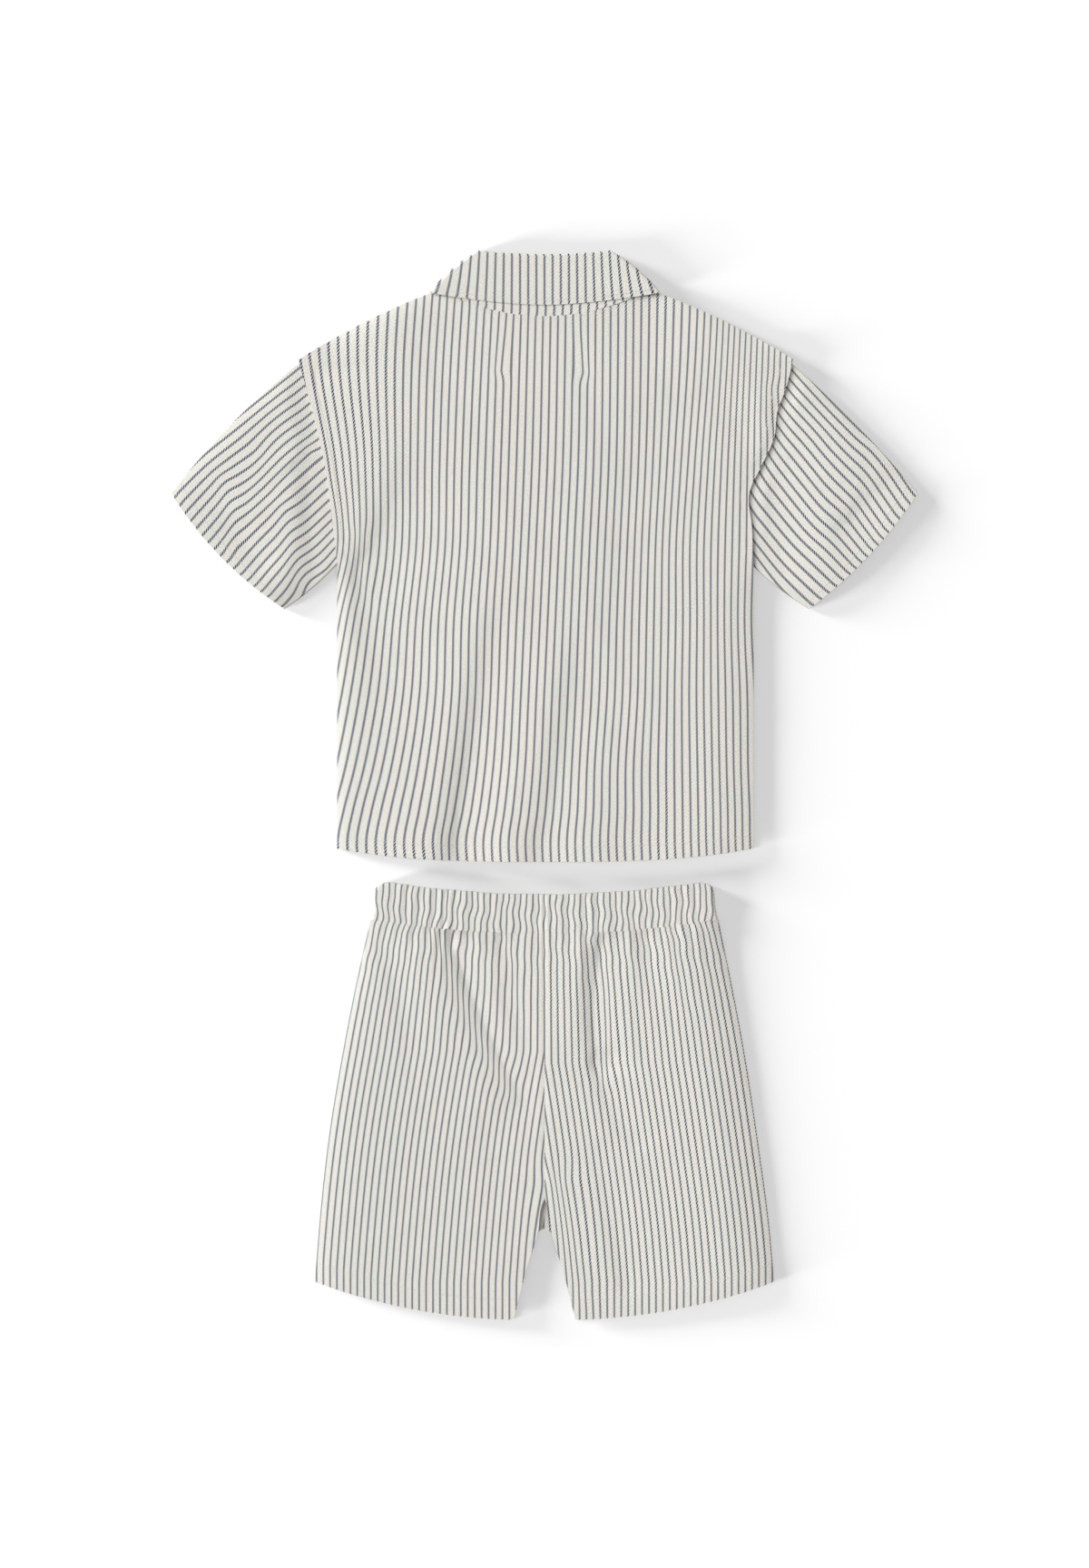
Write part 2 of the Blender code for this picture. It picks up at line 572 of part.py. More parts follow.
def leg_plan(u, y_share, side, inseam):
    """Plan of one leg's panel: u from the side seam in, and y_share from the band down."""
    outer_y = blend(BAND_SEAM_SIDE_Y, side[-1][1], y_share)
    inner_y = blend(BAND_SEAM_MIDDLE_Y, inseam[-1][1], y_share)
    from_side = u + uneven(u / 2.0)
    x = blend(x_at(side, outer_y), x_at(inseam, inner_y), from_side)
    top = band_y(1.0 - from_side, BAND_SEAM_SIDE_Y, BAND_SEAM_MIDDLE_Y) - SEAM_GAP
    hem = blend(side[-1][1], inseam[-1][1], from_side)
    hem = hem + 4.0 * LEG_HEM_BOW * from_side * (1.0 - from_side)
    return x, blend(top, hem, y_share)


def leg_back(name, mirror, side):
    """A back leg: gathered under the band, seamed down the middle, with folds across the seat."""
    across, down, near_band, to_crotch = GATHERS, 16, 4, 12
    crotch = (BAND_SEAM_MIDDLE_Y - INSEAM_BACK[0][1]) / (BAND_SEAM_MIDDLE_Y - INSEAM_BACK[-1][1])

    def shape(u, v):
        share = steps(v, (0.0, 0.0), (near_band / down, 0.12), (to_crotch / down, crotch), (1.0, 1.0))
        x, y = leg_plan(u, share, side, INSEAM_BACK)
        from_band = band_y(x / BAND_SEAM_HALF, BAND_SEAM_SIDE_Y, BAND_SEAM_MIDDLE_Y) - y
        near = np.exp(-np.maximum(from_band, 0.0) / 12.0)
        gathers = -GATHER_RISE * np.cos(np.pi * across * u) * np.exp(-from_band / GATHER_REACH)
        side_rim = np.exp(-u * side[0][0] / RIM)
        lift = (BAND_HIGH - ON_FLOOR - LAYER - LEG_LOFT) * near
        rise = (LEG_LOFT + lift + gathers + folded(SHORTS_FOLDS, mirror * x, y)) * (1.0 - side_rim)
        rise = rise + TURN_RISE * side_rim * near
        return np.column_stack([mirror * x, y, ON_FLOOR + LAYER + np.maximum(rise, 0.0)])

    return cloth_piece(name, across, down, shape)


def leg_front(name, mirror, side):
    """A front leg, flat on the floor, its crotch lower than the back's."""
    across, down, to_crotch = 6, 10, 6
    drop = BAND_SEAM_MIDDLE_Y - INSEAM_FRONT[-1][1]
    crotch, round_end = [(BAND_SEAM_MIDDLE_Y - y) / drop for x, y in INSEAM_FRONT[:2]]

    def shape(u, v):
        round_row = (to_crotch + 1) / down
        share = steps(v, (0.0, 0.0), (to_crotch / down, crotch), (round_row, round_end), (1.0, 1.0))
        x, y = leg_plan(u, share, side, INSEAM_FRONT)
        return np.column_stack([mirror * (x - FRONT_INSET * (1.0 - u)), y, np.full_like(x, ON_FLOOR)])

    return cloth_piece(name, across, down, shape)


def build():
    """Clears the scene and builds the set in a collection of its own."""
    for old in list(bpy.data.objects):
        bpy.data.objects.remove(old, do_unlink=True)
    pieces = [button(index) for index in range(BUTTONS)]
    pieces += [
        shirt_back(),
        shirt_front("shirt_front_left", 1, HEAD_LEFT, SIDE_LEFT, SHOULDER_BOW_LEFT, outer_front_z),
        shirt_front("shirt_front_right", -1, HEAD_RIGHT, SIDE_RIGHT, SHOULDER_BOW_RIGHT, inner_front_z),
        collar(),
        sleeve("sleeve_left", SLEEVE_LEFT),
        sleeve("sleeve_right", SLEEVE_RIGHT),
        waistband(),
        leg_back("shorts_back_left", -1, LEG_SIDE_LEFT),
        leg_back("shorts_back_right", 1, LEG_SIDE_RIGHT),
        leg_front("shorts_front_left", -1, LEG_SIDE_LEFT),
        leg_front("shorts_front_right", 1, LEG_SIDE_RIGHT),
    ]
    garments = bpy.data.collections.new("shirt_and_shorts")
    bpy.context.scene.collection.children.link(garments)
    for piece in pieces:
        for holder in list(piece.users_collection):
            holder.objects.unlink(piece)
        garments.objects.link(piece)


build()
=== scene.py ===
"""Dresses a small child's striped shirt and pull-on shorts, laid flat with the backs up.

Plan sizes are in millimetres from the middle of the set, as in a maker's pattern, and meshes are
written in metres. -X is the wearer's left, because the backs show. Every cloth piece is a surface
of two parameters, u across and v down, given a thin wall. Its UV map holds the cloth itself: the
number of the stripe, and the length along it in stripe pitches.
"""

import logging
from dataclasses import dataclass
from enum import Enum
from typing import Callable

import bmesh
import bpy
import numpy as np
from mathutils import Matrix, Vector


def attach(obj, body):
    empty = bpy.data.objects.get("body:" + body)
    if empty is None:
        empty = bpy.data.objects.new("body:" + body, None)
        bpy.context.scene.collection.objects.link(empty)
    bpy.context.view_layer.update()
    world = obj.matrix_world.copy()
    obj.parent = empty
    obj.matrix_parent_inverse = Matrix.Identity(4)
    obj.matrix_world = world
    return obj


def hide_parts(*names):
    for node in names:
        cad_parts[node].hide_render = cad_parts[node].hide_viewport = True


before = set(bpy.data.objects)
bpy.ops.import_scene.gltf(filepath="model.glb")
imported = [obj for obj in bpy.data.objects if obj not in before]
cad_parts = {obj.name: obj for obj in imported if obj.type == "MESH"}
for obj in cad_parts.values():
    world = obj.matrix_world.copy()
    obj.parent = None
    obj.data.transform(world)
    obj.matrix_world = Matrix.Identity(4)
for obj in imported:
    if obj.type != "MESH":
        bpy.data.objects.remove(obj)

log = logging.getLogger("shirt_and_shorts")

Array = np.ndarray
Surface = Callable[[Array, Array], Array]
Cloth = Callable[[Array, Array, Array], Array]
Point = tuple[float, float]
Line = tuple[Point, ...]
Colour = tuple[float, float, float]
Socket = bpy.types.NodeSocket

MM = 0.001  # metres
CLOTH = 0.6  # the wall of one layer
DOUBLED = 0.25  # what a hem or a seam allowance adds to it
FLOOR_CLEAR = 0.05  # air under the lowest layer
LAYER = 1.5  # from one layer's underside to the next one's
SOLID_WALL = 1.2  # the wall of the solids that the cloth stands for
RIM = 7.0  # how far in from a seam the cloth is drawn down
PITCH = 6.1  # between two stripes
SHARP_EDGE = 55.0  # degrees between faces, over which an edge isn't smoothed


# Curves and steps


def smooth(t: Array) -> Array:
    """A soft step, 3t^2 - 2t^3, from 0 at t = 0 to 1 at t = 1."""
    t = np.clip(t, 0.0, 1.0)
    return t * t * (3.0 - 2.0 * t)


def blend(a: Array, b: Array, t: Array) -> Array:
    """From a at t = 0 to b at t = 1."""
    return a + (b - a) * t


def steps(t: Array, *knots: tuple[float, float]) -> Array:
    """Spreads rows or columns unevenly, by straight runs through the (t, value) knots."""
    return np.interp(t, [knot[0] for knot in knots], [knot[1] for knot in knots])


def passed(t: Array, start: float, length: float) -> Array:
    """How much of a stretch lies behind t, from 0 to 1."""
    return np.clip((t - start) / length, 0.0, 1.0)


def hermite(at: Array, values: Array, t: Array) -> Array:
    """A cubic through the values at the given places, with central slopes.

    Args:
        at: Rising places of the knots.
        values: A value, or a row of values, for each knot.
        t: Places that are asked for.

    Returns:
        The curve's value at each t, kept level past the two ends.
    """
    slope = np.gradient(values, at, axis=0)
    t = np.clip(t, at[0], at[-1])
    i = np.clip(np.searchsorted(at, t, side="right") - 1, 0, len(at) - 2)
    shape = (-1,) + (1,) * (values.ndim - 1)
    span = (at[i + 1] - at[i]).reshape(shape)
    f = (t - at[i]).reshape(shape) / span
    start = (1 + 2 * f) * (1 - f) ** 2 * values[i] + f * (1 - f) ** 2 * span * slope[i]
    return start + f**2 * (3 - 2 * f) * values[i + 1] - f**2 * (1 - f) * span * slope[i + 1]


def along(points: Line, t: Array) -> Array:
    """Points on a soft curve through the given ones, t from 0 to 1 by their spacing."""
    knots = np.array(points, float)
    spacing = np.linalg.norm(np.diff(knots, axis=0), axis=1)
    at = np.concatenate([[0.0], np.cumsum(spacing)]) / spacing.sum()
    return hermite(at, knots, t)


def x_at(points: Line, y: Array) -> Array:
    """How far across a curve that runs down is, at the height y."""
    fine = along(points, np.linspace(0.0, 1.0, 201))[::-1]
    return np.interp(y, fine[:, 1], fine[:, 0])


def bowed(start: Point | Array, end: Point | Array, bow: float, t: Array) -> Array:
    """Points on a parabola that stands off a straight line.

    Args:
        start: Where the line starts.
        end: Where it ends.
        bow: How far the parabola's middle is to the left of the line.
        t: Places along it, 0 to 1.

    Returns:
        A point for each place.
    """
    start, end = np.array(start, float), np.array(end, float)
    ahead = end - start
    left = np.array([-ahead[1], ahead[0]]) / np.linalg.norm(ahead)
    t = t[:, None]
    return start + ahead * t + left * 4.0 * bow * t * (1.0 - t)


@dataclass(frozen=True)
class Crease:
    """A bowed line on the cloth, and how wide its effect is."""

    x0: float
    y0: float
    x1: float
    y1: float
    bow: float
    width: float

    def measure(self, x: Array, y: Array) -> tuple[Array, Array, Array]:
        """Measures places against the line.

        Args:
            x: Places across.
            y: Places up.

        Returns:
            The share of the way along, the distance to the line's right where it runs down, and
            how far past its two ends.
        """
        ahead = np.array([self.x1 - self.x0, self.y1 - self.y0])
        length = np.linalg.norm(ahead)
        ahead = ahead / length
        run = (x - self.x0) * ahead[0] + (y - self.y0) * ahead[1]
        t = np.clip(run / length, 0.0, 1.0)
        side = (y - self.y0) * ahead[0] - (x - self.x0) * ahead[1] - 4.0 * self.bow * t * (1.0 - t)
        return t, side, run - t * length


@dataclass(frozen=True)
class Fold(Crease):
    """A soft ridge, or a trough where the rise is below nothing.

    Its flank that faces left is drawn out, so that the cloth leans over to the right, as it was
    smoothed down by hand.
    """

    rise0: float
    rise1: float
    steep: float = 0.9
    gentle: float = 2.0

    def height(self, x: Array, y: Array) -> Array:
        """The rise along the line times a bell across it, wider on the gentle flank."""
        t, side, past = self.measure(x, y)
        right = side * np.sign(self.y0 - self.y1)
        faces_left = right * (self.rise0 + self.rise1) < 0.0
        width = self.width * np.where(faces_left, self.gentle, self.steep)
        bell = np.exp(-((side / width) ** 2) - (past / self.width) ** 2)
        return blend(self.rise0, self.rise1, t) * bell


class Way(Enum):
    """How a pull moves stripes: together towards its line, or all to one side."""

    PINCH = "pinch"
    BEND = "bend"


@dataclass(frozen=True)
class Pull(Crease):
    """Stripes drawn aside by a crease, by shares of their pitch."""

    shift0: float
    shift1: float
    way: Way = Way.PINCH

    def shift(self, x: Array, y: Array) -> Array:
        """What the pull adds to the stripe number."""
        t, side, past = self.measure(x, y)
        amount = blend(self.shift0, self.shift1, t) * np.exp(-(side**2 + past**2) / self.width**2)
        return amount * side / self.width if self.way is Way.PINCH else amount


def folded(folds: tuple[Fold, ...], x: Array, y: Array) -> Array:
    """The height that the folds give together."""
    return sum((fold.height(x, y) for fold in folds), np.zeros_like(x))


def pulled(pulls: tuple[Pull, ...], x: Array, y: Array) -> Array:
    """What the pulls add to the stripe number together."""
    return sum((pull.shift(x, y) for pull in pulls), np.zeros_like(x))


def ripples(x: Array, y: Array, length: float, seed: float) -> Array:
    """Soft uneven undulation from -1 to 1: crossing sine waves of about the given length."""
    k = 2 * np.pi / length
    return (
        np.sin(k * (x + 0.31 * y) + seed)
        + np.sin(k * 0.73 * (0.42 * x - y) + 2.1 * seed)
        + np.sin(k * 1.37 * (0.8 * x + 0.6 * y) + 3.7 * seed)
    ) / 3.0


# Meshes


def mesh_object(
    name: str, points: Array, faces: Array, uv: Array | None = None
) -> bpy.types.Object:
    """Makes an object of quads from whole arrays.

    Args:
        name: The object's name.
        points: Vertices, n x 3, in millimetres.
        faces: Vertex numbers, m x 4, turning left seen from outside.
        uv: Map coordinates for each corner, 4m x 2.

    Returns:
        The object, linked to the scene, at the origin.
    """
    mesh = bpy.data.meshes.new(name)
    mesh.vertices.add(len(points))
    mesh.vertices.foreach_set("co", (points * MM).astype(np.float32).ravel())
    mesh.loops.add(faces.size)
    mesh.loops.foreach_set("vertex_index", faces.astype(np.int32).ravel())
    mesh.polygons.add(len(faces))
    mesh.polygons.foreach_set("loop_start", np.arange(0, faces.size, 4, dtype=np.int32))
    mesh.update(calc_edges=True)
    mesh.shade_smooth()
    mesh.set_sharp_from_angle(angle=np.radians(SHARP_EDGE))
    if uv is not None:
        mesh.uv_layers.new(name="cloth").data.foreach_set("uv", uv.astype(np.float32).ravel())
    piece = bpy.data.objects.new(name, mesh)
    bpy.context.scene.collection.objects.link(piece)
    return piece


def grid_normals(points: Array, closed: bool) -> Array:
    """Finds unit normals: the step down crossed with the step across.

    Args:
        points: A grid, rows x columns x 3.
        closed: Whether its last column repeats the first.

    Returns:
        A normal for each point of the grid.
    """
    down = np.gradient(points, axis=0)
    if closed:
        ring = points[:, :-1]
        across = np.roll(ring, -1, axis=1) - np.roll(ring, 1, axis=1)
        across = np.concatenate([across, across[:, :1]], axis=1)
    else:
        across = np.gradient(points, axis=1)
    normal = np.cross(down, across)
    return normal / np.maximum(np.linalg.norm(normal, axis=2, keepdims=True), 1e-9)


def shell_faces(rows: int, columns: int, closed: bool) -> Array:
    """Corner numbers of the quads of a wall: an outer and an inner grid, joined round the edges.

    Args:
        rows: Points down the grid.
        columns: Points across it. On a closed grid the last column repeats the first.
        closed: Whether the grid comes round to where it began.

    Returns:
        Quads, m x 4. The outer grid's points are numbered row by row, and then the inner one's.
    """
    inner = rows * columns

    def number(row: Array, column: Array) -> Array:
        """The number of the outer point at a row and a column."""
        return row * columns + column

    r, c = (part.ravel() for part in np.indices((rows - 1, columns - 1)))
    outside = [number(r, c), number(r + 1, c), number(r + 1, c + 1), number(r, c + 1)]
    quads = [np.stack(outside, axis=1), np.stack(outside[::-1], axis=1) + inner]
    c, r = np.arange(columns - 1), np.arange(rows - 1)
    top, top_next = number(0, c), number(0, c + 1)
    low, low_next = number(rows - 1, c), number(rows - 1, c + 1)
    quads.append(np.stack([top, top_next, top_next + inner, top + inner], axis=1))
    quads.append(np.stack([low_next, low, low + inner, low_next + inner], axis=1))
    if not closed:
        left, left_next = number(r, 0), number(r + 1, 0)
        right, right_next = number(r, columns - 1), number(r + 1, columns - 1)
        quads.append(np.stack([left_next, left, left + inner, left_next + inner], axis=1))
        quads.append(np.stack([right, right_next, right_next + inner, right + inner], axis=1))
    return np.concatenate(quads)


@dataclass
class Panel:
    """One piece of cloth, as it lies.

    surface gives points in millimetres, and stripes the stripe number and the length along it,
    both for flat arrays of u and v. thickness is the wall at those places. outward is the share
    of the wall that stands on the outer side of the surface.
    """

    name: str
    surface: Surface
    stripes: Cloth
    thickness: Surface
    columns: Array
    rows: Array
    closed: bool = False
    outward: float = 1.0

    def build(self) -> bpy.types.Object:
        """Makes the wall: the surface, moved out along its normals on one side and in on the other."""
        shape = (len(self.rows), len(self.columns))
        v, u = (part.ravel() for part in np.meshgrid(self.rows, self.columns, indexing="ij"))
        points = self.surface(u, v)
        cloth = self.stripes(u, v, points)
        grid = points.reshape(*shape, 3)
        normal = grid_normals(grid, self.closed)
        wall = self.thickness(u, v).reshape(*shape, 1) * normal
        layers = np.stack([grid + self.outward * wall, grid - (1.0 - self.outward) * wall])
        corners = shell_faces(*shape, self.closed)
        uv = np.concatenate([cloth, cloth])[corners.ravel()]
        if self.closed:
            layers = layers[:, :, :-1]
            row, column = np.divmod(corners, shape[1])
            corners = row * (shape[1] - 1) + column % (shape[1] - 1)
        return mesh_object(self.name, layers.reshape(-1, 3), corners, uv)

    def line(self, u: Array, v: Array, lift: float = 0.0) -> Array:
        """Points on the panel's outer face along u and v, each as long as the line."""
        points = self.surface(u, v)
        points[:, 2] += self.outward * self.thickness(u, v) + lift
        return points


def even(points: Array, pitch: float) -> Array:
    """Points along the same line at an even pitch, by running length."""
    length = np.concatenate([[0.0], np.cumsum(np.linalg.norm(np.diff(points, axis=0), axis=1))])
    at = np.arange(pitch / 2, length[-1], pitch)
    return np.column_stack([np.interp(at, length, points[:, k]) for k in range(3)])


@dataclass(frozen=True)
class Thread:
    """A row of lockstitches, each a short bulged thread that dips at both ends."""

    radius: float = 0.2
    pitch: float = 2.5
    cover: float = 0.8
    sides: int = 6
    rings: int = 5

    def sew(self, name: str, lines: list[Array]) -> bpy.types.Object:
        """Makes every stitch of the given lines in one mesh.

        A stitch is a tube round its stretch of the line. Its radius is r * sqrt(1 - a^8) for a
        from -1 to 1 along it, and its middle stands up by half a radius.

        Args:
            name: The object's name.
            lines: Lines on the cloth, each n x 3.

        Returns:
            The joined stitches.
        """
        places = [even(line, self.pitch) for line in lines]
        ahead = np.concatenate([np.gradient(place, axis=0) for place in places])
        middle = np.concatenate(places)
        ahead /= np.linalg.norm(ahead, axis=1, keepdims=True)
        side = np.cross(np.array([0.0, 0.0, 1.0]), ahead)
        side /= np.linalg.norm(side, axis=1, keepdims=True)
        up = np.cross(ahead, side)
        a = np.linspace(-0.985, 0.985, self.rings)
        turn = np.linspace(0.0, 2 * np.pi, self.sides, endpoint=False)
        radius = self.radius * np.sqrt(1.0 - a**8)
        run = a * self.pitch * self.cover / 2
        rise = 0.5 * self.radius * (1.0 - a**2)
        tube = (
            middle[:, None, None]
            + ahead[:, None, None] * run[None, :, None, None]
            + side[:, None, None] * (radius[:, None] * np.cos(turn))[None, :, :, None]
            + up[:, None, None] * (rise[:, None] + radius[:, None] * np.sin(turn))[None, :, :, None]
        )
        one = self.tube_faces()
        count = self.rings * self.sides
        faces = (one[None] + np.arange(len(middle))[:, None, None] * count).reshape(-1, 4)
        return mesh_object(name, tube.reshape(-1, 3), faces)

    def tube_faces(self) -> Array:
        """Quads round one stitch, and two at each end that close its six sides."""
        ring, side = (part.ravel() for part in np.indices((self.rings - 1, self.sides)))
        here, after = side, (side + 1) % self.sides
        base, following = ring * self.sides, (ring + 1) * self.sides
        around = np.stack([base + here, base + after, following + after, following + here], axis=1)
        last = (self.rings - 1) * self.sides
        start = np.array([[0, 5, 4, 3], [0, 3, 2, 1]])
        end = np.array([[0, 1, 2, 3], [0, 3, 4, 5]]) + last
        return np.concatenate([around, start, end])


# Finishes


class Graph:
    """A material's nodes, joined one call at a time."""

    def __init__(self, name: str) -> None:
        """Starts a material whose surface is one Principled shader."""
        self.material = bpy.data.materials.new(name)
        self.material.use_nodes = True
        self.tree = self.material.node_tree
        self.shader = self.tree.nodes["Principled BSDF"]

    def put(self, socket: bpy.types.NodeSocket, value: object) -> None:
        """Links an output to a socket, or sets a number or a colour on it."""
        if isinstance(value, Socket):
            self.tree.links.new(value, socket)
        elif isinstance(value, tuple) and len(value) == 3 and len(socket.default_value) == 4:
            socket.default_value = (*value, 1.0)
        else:
            socket.default_value = value

    def node(self, kind: str, inputs: dict, **settings: object) -> bpy.types.Node:
        """Adds a node of the given kind with its settings and inputs."""
        made = self.tree.nodes.new(kind)
        for key, value in settings.items():
            setattr(made, key, value)
        for key, value in inputs.items():
            self.put(made.inputs[key], value)
        return made

    def math(self, operation: str, a: object, b: object = 0.0) -> Socket:
        """An operation on one or two values."""
        return self.node("ShaderNodeMath", {0: a, 1: b}, operation=operation).outputs[0]

    def add(self, a: object, b: object) -> Socket:
        """The sum of two values."""
        return self.math("ADD", a, b)

    def less(self, a: object, b: object) -> Socket:
        """The first value less the second."""
        return self.math("SUBTRACT", a, b)

    def times(self, a: object, b: object) -> Socket:
        """The product of two values."""
        return self.math("MULTIPLY", a, b)

    def mix(self, share: object, a: object, b: object) -> Socket:
        """Two colours mixed by the share of the second."""
        inputs = {"Factor": share, 6: a, 7: b}
        return self.node("ShaderNodeMix", inputs, data_type="RGBA").outputs[2]

    def ramp(
        self, value: object, low: object, high: object, a: object = 0.0, b: object = 1.0
    ) -> Socket:
        """Makes a soft step.

        Args:
            value: What it depends on.
            low: The value at which it starts.
            high: The value at which it ends.
            a: The result up to its start.
            b: The result from its end on.

        Returns:
            The output of the step.
        """
        inputs = {"Value": value, "From Min": low, "From Max": high, "To Min": a, "To Max": b}
        made = self.node("ShaderNodeMapRange", inputs, interpolation_type="SMOOTHSTEP")
        return made.outputs["Result"]

    def noise(self, vector: object, scale: float, detail: float = 2.0) -> Socket:
        """Soft noise from 0 to 1 on the given coordinates."""
        inputs = {"Vector": vector, "Scale": scale, "Detail": detail}
        return self.node("ShaderNodeTexNoise", inputs).outputs["Fac"]

    def place(self, x: object, y: object, z: object = 0.0) -> Socket:
        """A vector from three values."""
        return self.node("ShaderNodeCombineXYZ", {0: x, 1: y, 2: z}).outputs[0]

    def object_place(self) -> Socket:
        """Object coordinates, in metres."""
        return self.node("ShaderNodeTexCoord", {}).outputs["Object"]

    def bump(self, height: object, distance: float, strength: float) -> None:
        """Sets the shader's normal from a height."""
        inputs = {"Height": height, "Distance": distance, "Strength": strength}
        self.put(self.shader.inputs["Normal"], self.node("ShaderNodeBump", inputs).outputs[0])

    def surface(self, **values: object) -> None:
        """Sets the shader's inputs, underscores in their names standing for spaces."""
        for key, value in values.items():
            self.put(self.shader.inputs[key.replace("_", " ")], value)


@dataclass(frozen=True)
class StripedCotton:
    """Off-white cotton twill with thin blue-grey stripes, each a row of slanted dashes.

    The stripe is a soft band round each whole stripe number. Its dashes are a sine wave in the
    length along the stripe less the distance across it, so that they slant up to the right.
    """

    name: str = "striped_cotton"
    ground: Colour = (0.832, 0.822, 0.764)
    greener: Colour = (0.985, 1.0, 0.99)
    redder: Colour = (1.02, 0.985, 0.98)
    hollow: Colour = (0.36, 0.35, 0.31)
    ink_dark: Colour = (0.004, 0.019, 0.068)
    ink_light: Colour = (0.045, 0.095, 0.190)
    half_width: float = 0.62
    swell: float = 0.26
    fray: float = 0.06
    dash: float = 2.7
    dash_slant: float = 1.9
    between_dashes: float = 0.28
    twill: float = 1.3

    def make(self) -> bpy.types.Material:
        """Builds the material."""
        g = Graph(self.name)
        cloth = g.node("ShaderNodeUVMap", {}, uv_map="cloth").outputs[0]
        parts = g.node("ShaderNodeSeparateXYZ", {0: cloth})
        number, run = parts.outputs[0], parts.outputs[1]
        stripe, dash = self.stripes(g, number, run)
        plain = g.place(g.times(number, PITCH), g.times(run, PITCH))
        speckle = g.ramp(g.noise(plain, 1.15, 3.0), 0.3, 0.7)
        twill = g.math("SINE", g.times(g.less(run, number), 2 * np.pi * PITCH / self.twill))
        weave = g.add(g.times(speckle, 0.52), g.times(twill, 0.10))
        ground = g.mix(g.math("MAXIMUM", weave, 0.0), self.tone(g, number, run), self.hollow)
        full = g.add(g.times(dash, 1.0 - self.between_dashes), self.between_dashes)
        ink = g.mix(dash, self.ink_light, self.ink_dark)
        g.surface(
            Base_Color=g.mix(g.times(stripe, full), ground, ink),
            Roughness=0.92,
            Sheen_Weight=0.12,
            Sheen_Roughness=0.5,
            Specular_IOR_Level=0.15,
        )
        height = g.add(g.times(twill, 0.35), g.times(speckle, 1.6))
        g.bump(g.less(height, g.times(stripe, 0.2)), 0.00025, 0.35)
        return g.material

    def stripes(self, g: Graph, number: Socket, run: Socket) -> tuple[Socket, Socket]:
        """Finds the stripes and the dashes in them.

        Args:
            g: The material's nodes.
            number: The stripe number.
            run: The length along the stripe, in pitches.

        Returns:
            How far inside a stripe a place is, and how far inside a dash, each from 0 to 1.
        """
        fray = g.less(g.noise(g.place(number, g.times(run, 3.0)), 2.2, 3.0), 0.5)
        wandering = g.add(number, g.times(fray, self.fray))
        across = g.times(g.less(g.math("FRACT", g.add(wandering, 0.5)), 0.5), PITCH)
        phase = g.less(
            g.times(run, 2 * np.pi * PITCH / self.dash),
            g.times(across, 2 * np.pi / self.dash_slant),
        )
        dash = g.ramp(g.math("SINE", phase), -0.8, 0.2)
        width = g.add(g.times(dash, self.swell), self.half_width)
        stripe = g.ramp(g.math("ABSOLUTE", across), g.add(width, 0.22), g.less(width, 0.18))
        return stripe, dash

    def tone(self, g: Graph, number: Socket, run: Socket) -> Socket:
        """The ground's colour, a little greener or redder from stripe to stripe and along them."""
        whole = g.math("FLOOR", number)
        band = g.node("ShaderNodeTexWhiteNoise", {"W": whole}, noise_dimensions="1D")
        slow = g.noise(g.place(whole, g.times(run, 0.22)), 1.0, 1.0)
        share = g.math("FRACT", g.add(band.outputs["Value"], slow))
        return g.mix(share, self.tinted(self.greener), self.tinted(self.redder))

    def tinted(self, tint: Colour) -> Colour:
        """The ground colour with its channels scaled."""
        return tuple(part * scale for part, scale in zip(self.ground, tint))


@dataclass(frozen=True)
class SewingThread:
    """Matt cotton thread in the ground's colour, twisted."""

    name: str = "sewing_thread"
    colour: Colour = (0.68, 0.67, 0.61)

    def make(self) -> bpy.types.Material:
        """Builds the material: fine noise for the fibres."""
        g = Graph(self.name)
        fibre = g.noise(g.object_place(), 2600.0, 3.0)
        shade = g.mix(fibre, self.colour, tuple(0.7 * part for part in self.colour))
        g.surface(Base_Color=shade, Roughness=0.8, Sheen_Weight=0.1)
        g.bump(fibre, 0.0001, 0.4)
        return g.material


@dataclass(frozen=True)
class ButtonPlastic:
    """Satin cream plastic with a faint cloudy grain."""

    name: str = "button_plastic"
    light: Colour = (0.74, 0.70, 0.60)
    dark: Colour = (0.60, 0.55, 0.44)

    def make(self) -> bpy.types.Material:
        """Builds the material: two noises for the clouds and the fine scratches."""
        g = Graph(self.name)
        cloud = g.noise(g.object_place(), 420.0, 4.0)
        fine = g.noise(g.object_place(), 3000.0, 2.0)
        g.surface(
            Base_Color=g.mix(cloud, self.light, self.dark),
            Roughness=g.ramp(fine, 0.3, 0.7, 0.3, 0.42),
            Specular_IOR_Level=0.5,
        )
        g.bump(fine, 0.00002, 0.3)
        return g.material


@dataclass(frozen=True)
class StudioPaper:
    """The floor: plain matt white paper, with a grain too fine to draw the eye."""

    name: str = "studio_paper"
    colour: Colour = (0.5, 0.5, 0.5)

    def make(self) -> bpy.types.Material:
        """Builds the material."""
        g = Graph(self.name)
        grain = g.noise(g.object_place(), 900.0, 2.0)
        g.surface(
            Base_Color=g.mix(grain, self.colour, tuple(0.99 * part for part in self.colour)),
            Roughness=0.95,
            Specular_IOR_Level=0.1,
        )
        return g.material


@dataclass(frozen=True)
class Finishes:
    """Every material, made once."""

    cotton: bpy.types.Material
    thread: bpy.types.Material
    plastic: bpy.types.Material
    paper: bpy.types.Material

    @classmethod
    def make(cls) -> "Finishes":
        """Makes them all."""
        finishes = StripedCotton(), SewingThread(), ButtonPlastic(), StudioPaper()
        return cls(*(finish.make() for finish in finishes))


class Slot(Enum):
    """Names of the material slots."""

    COTTON = "striped_cotton"
    BUTTON = "button"


@dataclass(frozen=True)
class Cut:
    """The cloth's cut before it was sewn, in millimetres and square metres."""

    width: float
    length: float
    area: float


